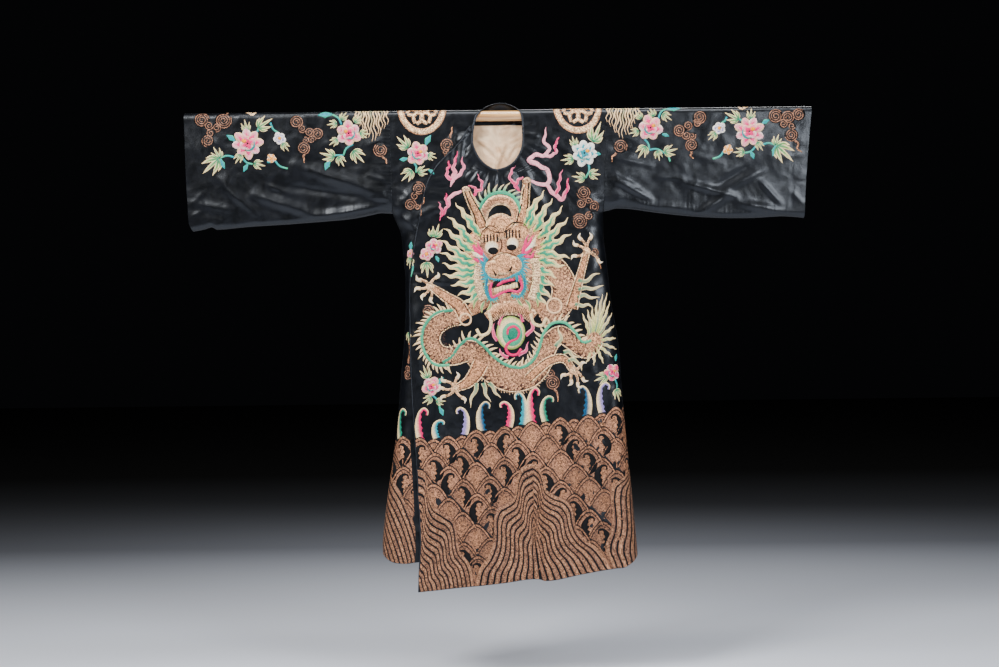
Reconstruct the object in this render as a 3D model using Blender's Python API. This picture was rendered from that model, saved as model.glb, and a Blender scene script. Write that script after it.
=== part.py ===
# Theatre robe of lined satin, hung on a wooden rod through both sleeves.
# Metres, +Z up. The origin is on the rod's axis under the neck; -Y is the front.
# "Left" and "right" in a piece's name are the wearer's; +X is the wearer's left.

import math
from collections import namedtuple

import bmesh
import bpy
from mathutils import Vector

# Rod and cloth
ROD_DIAMETER = 0.030
ROD_LENGTH = 1.770
ROD_SIDES = 32
ROD_CHAMFER = 0.0015
CLOTH = 0.0016
LINING = 0.0010
SEAM_GAP = 0.0003
LAYER_GAP = 0.0016
ROD_EASE = 0.0006

# The cloth's outer face turns over the rod on this radius
TURN = ROD_DIAMETER / 2 + ROD_EASE + CLOTH
ARC = TURN * math.pi / 2

# Side seams and armholes
ROUND_WIDTH = 0.045
ARMPIT = 0.278
ARMPIT_CLOSE = 0.052

# Neck: bound edge, and how far the back neckline stands over the rod
BAND_WIDTH = 0.0064
BAND_THICKNESS = 0.0028
BAND_LIFT = 0.0004
BAND_SIDES = 8
BAND_GAP = 0.0008
BACK_NECK_STEPS = 12
BACK_NECK_RISE = 0.0190
BACK_NECK_LEAN = 0.0085
BACK_NECK_LEFT = -0.0440
BACK_NECK_RIGHT = 0.0610

# The overlap starts below the rod and lies on the underlap
OVERLAP_TOP = 0.030
OVERLAP_LIFT = CLOTH + LAYER_GAP
OVERLAP_FADE = 0.180
UNDERLAP_SINK = 0.0050
UNDERLAP_SINK_WIDTH = 0.030
OPEN_SIDE_TOP = 0.300
OPEN_SIDE_STAND = 0.006

# Lining of the back
LINING_TOP = 0.012
LINING_FOOT = 1.220
LINING_EDGE = 0.030
LINING_SETBACK = 0.0006
LINING_HANG = 0.0070

# Knot button and its loop
KNOT_RADIUS = 0.005
KNOT_X = -0.0790
KNOT_DROP = 0.044
LOOP_CORD = 0.0011
KNOT_STAND = 0.0005

# Grids
BODY_STEP = 0.075
FRONT_COLUMNS = 14
UNDERLAP_COLUMNS = 11
BACK_COLUMNS = 10
LINING_COLUMNS = 8
LINING_ROWS = 12
SLEEVE_RINGS = 16
SLEEVE_SIDE_STEPS = 6
FOOT_STEPS = 4
TURN_STEPS = 4

Side = namedtuple("Side", "drop right left")
SHOULDER = Side(-0.0172, -0.3085, 0.3135)
SIDES = [
    Side(0.278, -0.3030, 0.3020),
    Side(0.298, -0.2960, 0.3015),
    Side(0.321, -0.2855, 0.3010),
    Side(0.349, -0.2790, 0.3012),
    Side(0.400, -0.2745, 0.3070),
    Side(0.465, -0.2690, 0.3140),
    Side(0.540, -0.2690, 0.3220),
    Side(0.651, -0.2755, 0.3400),
    Side(0.763, -0.2865, 0.3480),
    Side(0.893, -0.2980, 0.3570),
    Side(1.000, -0.3130, 0.3660),
    Side(1.109, -0.3290, 0.3750),
    Side(1.224, -0.3415, 0.3850),
    Side(1.300, -0.3400, 0.3890),
    Side(1.400, -0.3400, 0.3890),
]

Depth = namedtuple("Depth", "drop front back")
DEPTHS = [
    Depth(0.000, TURN, TURN),
    Depth(0.030, 0.0180, 0.0195),
    Depth(0.100, 0.0215, 0.0215),
    Depth(0.200, 0.0245, 0.0225),
    Depth(0.300, 0.0270, 0.0235),
    Depth(0.500, 0.0310, 0.0260),
    Depth(0.800, 0.0380, 0.0300),
    Depth(1.100, 0.0460, 0.0340),
    Depth(1.400, 0.0540, 0.0380),
]

# The cloth's edge at the neck, by distance down the cloth from the rod's top
Neck = namedtuple("Neck", "run right left")
NECK = [
    Neck(0.000, -0.0440, 0.0610),
    Neck(0.015, -0.0530, 0.0690),
    Neck(0.027, -0.0620, 0.0730),
    Neck(0.045, -0.0680, 0.0750),
    Neck(0.063, -0.0720, 0.0760),
    Neck(0.097, -0.0750, 0.0760),
    Neck(0.120, -0.0710, 0.0730),
    Neck(0.138, -0.0635, 0.0665),
    Neck(0.152, -0.0555, 0.0585),
    Neck(0.163, -0.0465, 0.0495),
    Neck(0.172, -0.0370, 0.0390),
    Neck(0.180, -0.0245, 0.0245),
    Neck(0.184, -0.0160, 0.0130),
    Neck(0.187, -0.0020, -0.0020),
]
NECK_FOOT = NECK[-1].run

Edge = namedtuple("Edge", "drop x")
OVERLAP_EDGE = [
    Edge(0.030, -0.0800),
    Edge(0.040, -0.0870),
    Edge(0.069, -0.1040),
    Edge(0.100, -0.1320),
    Edge(0.141, -0.1740),
    Edge(0.172, -0.1940),
    Edge(0.200, -0.2070),
    Edge(0.240, -0.2170),
    Edge(0.282, -0.2250),
    Edge(0.340, -0.2370),
    Edge(0.400, -0.2470),
    Edge(0.470, -0.2560),
    Edge(0.641, -0.2550),
    Edge(0.812, -0.2520),
    Edge(0.911, -0.2470),
    Edge(1.082, -0.2380),
    Edge(1.225, -0.2335),
    Edge(1.290, -0.2370),
    Edge(1.370, -0.2405),
]

FRONT_SEAM = [
    Edge(0.150, -0.0020),
    Edge(0.439, 0.0200),
    Edge(0.630, 0.0410),
    Edge(1.011, 0.0860),
    Edge(1.330, 0.1100),
]

# Inner edge of the underlap, hidden below the overlap
UNDERLAP_EDGE = [
    Edge(0.093, -0.0710),
    Edge(0.125, -0.0600),
    Edge(0.200, -0.0460),
    Edge(0.500, -0.0350),
    Edge(1.300, -0.0200),
]

BACK_SEAM = [
    Edge(-0.036, 0.0085),
    Edge(0.300, 0.0060),
    Edge(1.300, 0.0220),
]

Hem = namedtuple("Hem", "x drop")
FRONT_HEM = [
    Hem(-0.2400, 1.3580),
    Hem(0.0010, 1.3360),
    Hem(0.0780, 1.3250),
    Hem(0.1060, 1.3270),
    Hem(0.1200, 1.3310),
    Hem(0.1630, 1.3260),
    Hem(0.2610, 1.3070),
    Hem(0.3270, 1.2980),
    Hem(0.3470, 1.2960),
    Hem(0.3610, 1.2890),
    Hem(0.3760, 1.2800),
    Hem(0.3890, 1.2650),
]
UNDERLAP_HEM = [
    Hem(-0.3400, 1.2560),
    Hem(-0.3260, 1.2670),
    Hem(-0.3070, 1.2750),
    Hem(-0.2720, 1.2780),
    Hem(-0.2400, 1.2740),
    Hem(-0.0200, 1.2700),
]
BACK_HEM = [
    Hem(-0.3400, 1.2560),
    Hem(-0.3260, 1.2670),
    Hem(-0.3070, 1.2750),
    Hem(-0.2720, 1.2780),
    Hem(-0.2400, 1.2740),
    Hem(-0.1800, 1.2800),
    Hem(0.0000, 1.3000),
    Hem(0.1500, 1.3120),
    Hem(0.2610, 1.3070),
    Hem(0.3270, 1.2980),
    Hem(0.3470, 1.2960),
    Hem(0.3610, 1.2890),
    Hem(0.3760, 1.2800),
    Hem(0.3890, 1.2650),
]

# Under edge of each sleeve and its mouth, from the rod's axis
Under = namedtuple("Under", "reach drop")
RIGHT_SLEEVE_UNDER = [
    Under(0.303, 0.278),
    Under(0.337, 0.276),
    Under(0.363, 0.281),
    Under(0.417, 0.291),
    Under(0.470, 0.296),
    Under(0.603, 0.305),
    Under(0.717, 0.311),
    Under(0.810, 0.318),
    Under(0.823, 0.311),
    Under(0.845, 0.317),
    Under(0.899, 0.326),
]
LEFT_SLEEVE_UNDER = [
    Under(0.302, 0.278),
    Under(0.316, 0.276),
    Under(0.338, 0.270),
    Under(0.378, 0.272),
    Under(0.465, 0.285),
    Under(0.589, 0.298),
    Under(0.718, 0.302),
    Under(0.814, 0.298),
    Under(0.846, 0.300),
    Under(0.903, 0.306),
]
Mouth = namedtuple("Mouth", "drop right left")
MOUTHS = [
    Mouth(-0.020, 0.8990, 0.9030),
    Mouth(0.088, 0.8960, 0.8925),
    Mouth(0.190, 0.8935, 0.8840),
    Mouth(0.257, 0.8900, 0.8800),
    Mouth(0.300, 0.8870, 0.8780),
    Mouth(0.330, 0.8740, 0.8740),
]
Sleeve = namedtuple("Sleeve", "drop front back")
SLEEVE_DEPTHS = [
    Sleeve(0.000, TURN, TURN),
    Sleeve(0.100, 0.0175, 0.0170),
    Sleeve(0.200, 0.0165, 0.0160),
    Sleeve(0.320, 0.0150, 0.0150),
]
SLEEVE_FOOT_CLOSE = 0.014
SLEEVE_EASE_START = 0.300
SLEEVE_EASE_REACH = 0.160
SLEEVE_NEAR = 0.303
SLEEVE_FAR = 0.885

# Where a panel's rows start to follow its hem, and the even run they have above it
SKIRT_START = 0.330
NOMINAL_RUN = 1.340
ROW_SLACK = 0.01
KEY_SPACING = 0.004
OVERLAP_KEY_DROPS = (0.200, 0.240, 0.282)
BACK_KEY_DROPS = (0.040, 0.100)

# Distances over which a lift or a fold comes in
FOLD_FADE_DROP = 0.040
FOLD_FADE_REACH = 0.030
OVERLAP_EDGE_EASE = 0.120
OPEN_SIDE_EASE = 0.500
NECK_LIFT_DROP = 0.005
NECK_LIFT_EASE = 0.030
SEAM_LIFT_DROP = 0.020
SEAM_LIFT_EASE = 0.100
SEAM_LIFT_REACH = 0.020
LINING_EASE = 0.120

# Steps of the surface normals, and the meshes' weld, sharp angle and coarseness
NORMAL_STEP = 0.0004
RING_STEP = 0.05
REACH_STEP = 0.002
WELD = 0.00001
SHARP_ANGLE = 40.0
CHAMFER_STEPS = 2
KNOT_SEGMENTS = 12
KNOT_RINGS = 8
LOOP_SIDES = 8
LOOP_STEPS = 20
NECK_MIDDLE = (0.005, -0.020, -0.060)

SATIN_COLOUR = (0.010, 0.011, 0.014)
SATIN_ROUGHNESS = 0.38
LINING_COLOUR = (0.52, 0.38, 0.26)
LINING_ROUGHNESS = 0.85
BINDING_COLOUR = (0.014, 0.015, 0.019)
BINDING_ROUGHNESS = 0.45
WOOD_COLOUR = (0.58, 0.31, 0.11)
WOOD_ROUGHNESS = 0.35

# Largest folds: a ridge along a line from (x, drop) to (x, drop), with its half
# width and height; a negative height is a trough, and its ends keep a share of it
RIDGE_END_SHARE = 0.35
Fold = namedtuple("Fold", "x0 drop0 x1 drop1 width height")
FRONT_FOLDS = [
    Fold(0.094, 1.000, 0.112, 1.360, 0.015, -0.0085),
    Fold(0.066, 1.020, 0.074, 1.360, 0.018, 0.0050),
    Fold(0.146, 1.060, 0.158, 1.360, 0.022, 0.0060),
    Fold(0.232, 0.820, 0.262, 1.340, 0.030, 0.0060),
    Fold(0.205, 0.900, 0.214, 1.340, 0.016, -0.0050),
    Fold(0.300, 0.760, 0.322, 1.320, 0.018, -0.0055),
    Fold(-0.040, 0.980, -0.052, 1.380, 0.030, 0.0060),
    Fold(-0.110, 0.900, -0.128, 1.380, 0.020, -0.0045),
    Fold(-0.180, 0.860, -0.190, 1.380, 0.024, 0.0055),
    Fold(0.052, 0.140, 0.120, 0.250, 0.010, 0.0040),
    Fold(0.074, 0.110, 0.150, 0.190, 0.008, 0.0035),
    Fold(0.080, 0.075, 0.150, 0.105, 0.008, 0.0030),
    Fold(0.030, 0.175, 0.070, 0.300, 0.010, 0.0035),
    Fold(-0.100, 0.060, -0.110, 0.170, 0.008, 0.0035),
    Fold(-0.125, 0.030, -0.140, 0.150, 0.009, 0.0030),
    Fold(-0.020, 0.185, -0.060, 0.270, 0.010, 0.0030),
    Fold(0.292, 0.265, 0.190, 0.180, 0.014, 0.0050),
    Fold(0.290, 0.300, 0.160, 0.300, 0.016, 0.0045),
    Fold(-0.292, 0.265, -0.210, 0.190, 0.013, 0.0050),
    Fold(-0.280, 0.310, -0.140, 0.250, 0.014, 0.0045),
    Fold(0.300, 0.420, 0.180, 0.520, 0.020, 0.0040),
    Fold(-0.230, 0.468, -0.110, 0.480, 0.010, 0.0035),
    Fold(-0.200, 0.560, -0.160, 0.840, 0.024, 0.0035),
]
BACK_FOLDS = [
    Fold(0.030, 0.900, 0.040, 1.300, 0.030, 0.0065),
    Fold(-0.080, 0.950, -0.090, 1.300, 0.022, -0.0050),
    Fold(-0.170, 0.860, -0.190, 1.300, 0.028, 0.0065),
    Fold(0.130, 0.880, 0.145, 1.300, 0.022, -0.0055),
    Fold(0.220, 0.800, 0.250, 1.300, 0.030, 0.0070),
    Fold(-0.250, 0.900, -0.275, 1.300, 0.018, -0.0045),
    Fold(0.290, 0.265, 0.180, 0.200, 0.014, 0.0050),
    Fold(-0.290, 0.265, -0.180, 0.190, 0.014, 0.0050),
    Fold(0.280, 0.330, 0.120, 0.330, 0.016, 0.0040),
    Fold(-0.275, 0.330, -0.110, 0.340, 0.016, 0.0040),
    Fold(0.050, 0.060, 0.140, 0.180, 0.012, 0.0035),
    Fold(-0.050, 0.060, -0.150, 0.170, 0.012, 0.0035),
]

# Folds on the sleeves, by reach from the centre and drop; side is -1 on the
# front, 1 on the back and 0 on both
SleeveFold = namedtuple("SleeveFold", "side reach0 drop0 reach1 drop1 width height")
RIGHT_SLEEVE_FOLDS = [
    SleeveFold(-1, 0.312, 0.228, 0.575, 0.138, 0.018, 0.0105),
    SleeveFold(-1, 0.520, 0.280, 0.698, 0.222, 0.013, 0.0085),
    SleeveFold(-1, 0.312, 0.262, 0.540, 0.284, 0.012, 0.0080),
    SleeveFold(-1, 0.694, 0.274, 0.786, 0.196, 0.012, 0.0065),
    SleeveFold(-1, 0.772, 0.198, 0.806, 0.160, 0.013, 0.0040),
    SleeveFold(-1, 0.420, 0.226, 0.600, 0.196, 0.011, -0.0035),
    SleeveFold(1, 0.330, 0.210, 0.600, 0.150, 0.016, 0.0060),
    SleeveFold(1, 0.340, 0.262, 0.620, 0.250, 0.014, 0.0050),
    SleeveFold(1, 0.700, 0.180, 0.820, 0.230, 0.016, 0.0040),
]
LEFT_SLEEVE_FOLDS = [
    SleeveFold(0, 0.316, 0.190, 0.420, 0.250, 0.012, 0.0060),
    SleeveFold(-1, 0.320, 0.150, 0.520, 0.205, 0.012, 0.0060),
    SleeveFold(-1, 0.405, 0.215, 0.580, 0.262, 0.014, 0.0060),
    SleeveFold(-1, 0.580, 0.155, 0.680, 0.220, 0.014, 0.0050),
    SleeveFold(0, 0.500, 0.180, 0.700, 0.180, 0.010, -0.0040),
    SleeveFold(-1, 0.720, 0.160, 0.840, 0.250, 0.014, 0.0050),
    SleeveFold(1, 0.320, 0.160, 0.560, 0.215, 0.016, 0.0060),
    SleeveFold(1, 0.420, 0.230, 0.640, 0.260, 0.014, 0.0050),
    SleeveFold(1, 0.700, 0.170, 0.820, 0.240, 0.016, 0.0045),
]


def clear_scene():
    for old in list(bpy.data.objects):
        bpy.data.objects.remove(old, do_unlink=True)


def clamp(value, low=0.0, high=1.0):
    return max(low, min(high, value))


def ease(value):
    value = clamp(value)
    return value * value * (3.0 - 2.0 * value)


def read(table, key, value, column):
    """Value of a table's column at a key, on a smooth curve through its rows."""
    keys = [getattr(row, key) for row in table]
    values = [getattr(row, column) for row in table]
    if value <= keys[0]:
        return values[0]
    if value >= keys[-1]:
        return values[-1]
    at = next(i for i in range(len(keys) - 1) if value <= keys[i + 1])
    before, after = max(at - 1, 0), min(at + 2, len(keys) - 1)
    span = keys[at + 1] - keys[at]
    part = (value - keys[at]) / span
    slope0 = (values[at + 1] - values[before]) / (keys[at + 1] - keys[before])
    slope1 = (values[after] - values[at]) / (keys[after] - keys[at])
    step = (values[at + 1] - values[at]) / span
    if step * slope0 <= 0.0:
        slope0 = 0.0
    if step * slope1 <= 0.0:
        slope1 = 0.0
    slope0 = math.copysign(min(abs(slope0), 3.0 * abs(step)), slope0)
    slope1 = math.copysign(min(abs(slope1), 3.0 * abs(step)), slope1)
    h00 = 2.0 * part ** 3 - 3.0 * part ** 2 + 1.0
    h10 = part ** 3 - 2.0 * part ** 2 + part
    h01 = 3.0 * part ** 2 - 2.0 * part ** 3
    h11 = part ** 3 - part ** 2
    return h00 * values[at] + h10 * span * slope0 + h01 * values[at + 1] + h11 * span * slope1


def ridge(x, drop, x0, drop0, x1, drop1, width, height):
    """Height at a point of one soft ridge that fades out at both of its ends."""
    dx, dz = x1 - x0, drop1 - drop0
    length2 = dx * dx + dz * dz
    part = clamp(((x - x0) * dx + (drop - drop0) * dz) / length2)
    off = math.hypot(x - x0 - part * dx, drop - drop0 - part * dz)
    crown = RIDGE_END_SHARE + (1.0 - RIDGE_END_SHARE) * math.sin(math.pi * part)
    return height * crown * math.exp(-(off / width) ** 2)


def side_x(drop, column):
    """Armhole seam as a straight line down to the armpit, then the side seam."""
    if drop > ARMPIT:
        return read(SIDES, "drop", drop, column)
    shoulder = getattr(SHOULDER, column)
    armpit = getattr(SIDES[0], column)
    part = (drop - SHOULDER.drop) / (ARMPIT - SHOULDER.drop)
    return shoulder + (armpit - shoulder) * part


def body_folds(table, x, drop):
    return sum(ridge(x, drop, f.x0, f.drop0, f.x1, f.drop1, f.width, f.height) for f in table)


def drop_at(run):
    """Distance below the rod's axis of a point a run down the cloth."""
    if run < ARC:
        return -TURN * math.cos(run / TURN)
    return run - ARC


def run_at(drop):
    return drop + ARC


def armhole_share(drop):
    """How far a panel's outer edge still stands off the side seam: 1 at the sleeve."""
    closing = clamp((drop - ARMPIT + ARMPIT_CLOSE) / ARMPIT_CLOSE)
    return math.sqrt(max(0.0, 1.0 - closing * closing))


def across(x, drop):
    """Distance across the cloth for an x, along the rounded sides as well."""
    right = side_x(drop, "right") + ROUND_WIDTH
    left = side_x(drop, "left") - ROUND_WIDTH
    if x > left:
        return left + ROUND_WIDTH * math.asin(clamp((x - left) / ROUND_WIDTH))
    if x < right:
        return right - ROUND_WIDTH * math.asin(clamp((right - x) / ROUND_WIDTH))
    return x


def body_point(a, run, side, fold_share=1.0):
    """Point of the body's base surface: side is -1 for the front, 1 for the back."""
    drop = drop_at(run)
    depth_name = "front" if side < 0 else "back"
    folds = FRONT_FOLDS if side < 0 else BACK_FOLDS
    right = side_x(drop, "right") + ROUND_WIDTH
    left = side_x(drop, "left") - ROUND_WIDTH
    if a > left:
        turn = (a - left) / ROUND_WIDTH
        x = left + ROUND_WIDTH * math.sin(turn)
    elif a < right:
        turn = (right - a) / ROUND_WIDTH
        x = right - ROUND_WIDTH * math.sin(turn)
    else:
        turn = 0.0
        x = a
    rise = neck_rise(x) if side > 0 else 0.0
    lean = BACK_NECK_LEAN * rise / BACK_NECK_RISE
    if run < ARC:
        angle = run / TURN
        y = lean + (TURN - lean) * math.sin(angle)
        z = (TURN + rise) * math.cos(angle)
        return Vector((x, side * y, z))
    depth = read(DEPTHS, "drop", drop, depth_name)
    edge = depth * armhole_share(drop) + SEAM_GAP / 2
    fade = fold_share * ease(drop / FOLD_FADE_DROP) * math.cos(turn)
    y = edge + (depth - edge) * math.cos(turn) + fade * body_folds(folds, x, drop)
    return Vector((x, side * y, -drop))


def neck_rise(x):
    """Height of the back neckline over the rod's top."""
    middle = (BACK_NECK_LEFT + BACK_NECK_RIGHT) / 2
    half = (BACK_NECK_RIGHT - BACK_NECK_LEFT) / 2
    return BACK_NECK_RISE * max(0.0, 1.0 - ((x - middle) / half) ** 2)


def outward(point_at, a, run, side):
    """Unit normal of a surface, out of the garment, from two short steps on it."""
    over_a = point_at(a + NORMAL_STEP, run, side) - point_at(a - NORMAL_STEP, run, side)
    low = max(run - NORMAL_STEP, 0.0)
    over_run = point_at(a, run + NORMAL_STEP, side) - point_at(a, low, side)
    normal = over_a.cross(over_run)
    return side * normal.normalized()


def cloth_wall(name, columns, rows, outer_at, inner_at, material, tube=False):
    """One closed wall of cloth: a grid for each face and a rim between them."""
    bm = bmesh.new()
    bmesh.ops.create_grid(bm, x_segments=columns, y_segments=rows, size=0.5)
    place = {vert: (vert.co.x + 0.5, 0.5 - vert.co.y) for vert in bm.verts}
    outer_verts = list(bm.verts)
    rim = [edge for edge in bm.edges if edge.is_boundary]
    if tube:
        rim = [e for e in rim if abs(place[e.verts[0]][1] - place[e.verts[1]][1]) < 1e-6]
    copied = bmesh.ops.duplicate(bm, geom=bm.verts[:] + bm.edges[:] + bm.faces[:])
    twin = copied["vert_map"]
    for edge in rim:
        first, second = edge.verts
        bm.faces.new((first, second, twin[second], twin[first]))
    for vert in outer_verts:
        u, v = place[vert]
        vert.co = outer_at(u, v)
        twin[vert].co = inner_at(u, v)
    if tube:
        bmesh.ops.remove_doubles(bm, verts=bm.verts, dist=WELD)
    bmesh.ops.recalc_face_normals(bm, faces=bm.faces)
    return finish(name, bm, material)


def finish(name, bm, material):
    mesh = bpy.data.meshes.new(name)
    bm.to_mesh(mesh)
    bm.free()
    mesh.shade_smooth()
    mesh.set_sharp_from_angle(angle=math.radians(SHARP_ANGLE))
    piece = bpy.data.objects.new(name, mesh)
    piece.data.materials.append(material)
    bpy.context.scene.collection.objects.link(piece)
    return piece


def make_material(name, colour, roughness):
    material = bpy.data.materials.new(name)
    material.use_nodes = True
    shader = material.node_tree.nodes["Principled BSDF"]
    shader.inputs["Base Color"].default_value = (*colour, 1.0)
    shader.inputs["Roughness"].default_value = roughness
    return material


def row_runs(keys, last):
    """Rows down a panel: every key row, and even steps where they are far apart."""
    stops = sorted(keys) + [last]
    runs = []
    for start, stop in zip(stops, stops[1:]):
        parts = max(1, math.ceil((stop - start) / BODY_STEP - ROW_SLACK))
        runs += [start + (stop - start) * i / parts for i in range(parts)]
    return runs + [last]


def turn_keys():
    """Rows of a panel over the rod."""
    return [SEAM_GAP / 2] + [ARC * i / TURN_STEPS for i in range(1, TURN_STEPS + 1)]


def armpit_keys():
    """Rows of a panel where its edge turns in under the arm, as the sleeve's do."""
    turns = [math.pi / 2 * i / FOOT_STEPS for i in range(FOOT_STEPS + 1)]
    return [run_at(ARMPIT - ARMPIT_CLOSE * (1.0 - math.sin(turn))) for turn in turns]


def body_panel(name, side, right_x, left_x, hem, keys, lift_at, material, columns):
    """A front or back panel between two edges, from its top row to its hem."""
    runs = row_runs(keys, NOMINAL_RUN)

    def between(u, run):
        drop = drop_at(run)
        right_a = across(right_x(run), drop)
        left_a = across(left_x(run), drop)
        return right_a + (left_a - right_a) * u

    def spot(u, v):
        run = runs[round(v * (len(runs) - 1))]
        if run > SKIRT_START:
            x = body_point(between(u, run), run, side).x
            share = (run - SKIRT_START) / (NOMINAL_RUN - SKIRT_START)
            run = SKIRT_START + share * (run_at(read(hem, "x", x, "drop")) - SKIRT_START)
        return between(u, run), run

    def face_at(u, v, under):
        a, run = spot(u, v)
        normal = outward(body_point, a, run, side)
        return body_point(a, run, side) + normal * (lift_at(a, run) - under)

    def outer_at(u, v):
        return face_at(u, v, 0.0)

    def inner_at(u, v):
        return face_at(u, v, CLOTH)

    return cloth_wall(name, columns, len(runs) - 1, outer_at, inner_at, material)


def seam_half(run, column):
    """Side or armhole seam, less half of the seam's gap, towards the middle."""
    edge = side_x(drop_at(run), column)
    return edge - math.copysign(SEAM_GAP / 2, edge)


def flat_lift(a, run):
    return 0.0


def underlap_lift(a, run):
    """Below the overlap the underlap hangs a little further in."""
    drop = drop_at(run)
    if drop < OVERLAP_TOP:
        return 0.0
    edge = read(OVERLAP_EDGE, "drop", drop, "x")
    return -UNDERLAP_SINK * ease((a - edge) / UNDERLAP_SINK_WIDTH)


def overlap_lift(a, run):
    """The overlap lies on the underlap; its free edge stands off a little below."""
    drop = drop_at(run)
    edge = read(OVERLAP_EDGE, "drop", drop, "x")
    near_edge = ease(1.0 - (a - edge) / OVERLAP_EDGE_EASE)
    stand = OPEN_SIDE_STAND * ease((drop - OPEN_SIDE_TOP) / OPEN_SIDE_EASE)
    return OVERLAP_LIFT + stand * near_edge


def front_left_lift(a, run):
    drop = drop_at(run)
    seam = read(FRONT_SEAM, "drop", drop, "x")
    from_neck = ease((drop - SEAM_LIFT_DROP) / SEAM_LIFT_EASE)
    return OVERLAP_LIFT * from_neck * ease(1.0 - (a - seam - SEAM_LIFT_REACH) / OVERLAP_FADE)


def neck_left(run):
    return read(NECK, "run", run, "left")


def neck_right(run):
    return read(NECK, "run", run, "right")


def front_seam(run, gap_side):
    return read(FRONT_SEAM, "drop", drop_at(run), "x") + gap_side * SEAM_GAP / 2


def build_front_left(material):
    """Wearer's left half of the front, from the shoulder to the hem."""
    def inner_edge(run):
        return neck_left(run) if run < NECK_FOOT else front_seam(run, 1)

    def outer_edge(run):
        return seam_half(run, "left")

    keys = turn_keys() + armpit_keys() + [SKIRT_START]
    keys += [row.run for row in NECK if row.run > ARC]
    return body_panel("front_left", -1, inner_edge, outer_edge, FRONT_HEM, keys,
                      front_left_lift, material, FRONT_COLUMNS)


def build_front_overlap(material):
    """Panel that closes over to the wearer's right, below a slanting edge."""
    def slant_edge(run):
        return read(OVERLAP_EDGE, "drop", drop_at(run), "x")

    def inner_edge(run):
        return neck_right(run) if run < NECK_FOOT else front_seam(run, -1)

    keys = [run_at(OVERLAP_TOP)]
    keys += [row.run for row in NECK if row.run > run_at(OVERLAP_TOP) + KEY_SPACING]
    keys += [run_at(drop) for drop in OVERLAP_KEY_DROPS] + [SKIRT_START]
    return body_panel("front_overlap", -1, slant_edge, inner_edge, FRONT_HEM, keys,
                      overlap_lift, material, FRONT_COLUMNS)


def build_front_underlap(material):
    """Wearer's right front: shoulder, side strip and the part below the overlap."""
    def outer_edge(run):
        return seam_half(run, "right")

    def inner_edge(run):
        drop = drop_at(run)
        if drop < UNDERLAP_EDGE[0].drop:
            return neck_right(run)
        return read(UNDERLAP_EDGE, "drop", drop, "x")

    keys = turn_keys() + armpit_keys() + [SKIRT_START]
    keys += [run_at(row.drop) for row in UNDERLAP_EDGE[:3]]
    return body_panel("front_underlap", -1, outer_edge, inner_edge, UNDERLAP_HEM, keys,
                      underlap_lift, material, UNDERLAP_COLUMNS)


def build_backs(material):
    """Two halves of the back, with a seam down the middle."""
    keys = turn_keys() + armpit_keys() + [run_at(drop) for drop in BACK_KEY_DROPS] + [SKIRT_START]

    def middle(gap_side):
        def seam(run):
            return read(BACK_SEAM, "drop", drop_at(run), "x") + gap_side * SEAM_GAP / 2
        return seam

    def left_edge(run):
        return seam_half(run, "left")

    def right_edge(run):
        return seam_half(run, "right")

    body_panel("back_left", 1, middle(1), left_edge, BACK_HEM, keys, flat_lift,
               material, BACK_COLUMNS)
    body_panel("back_right", 1, right_edge, middle(-1), BACK_HEM, keys, flat_lift,
               material, BACK_COLUMNS)


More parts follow.
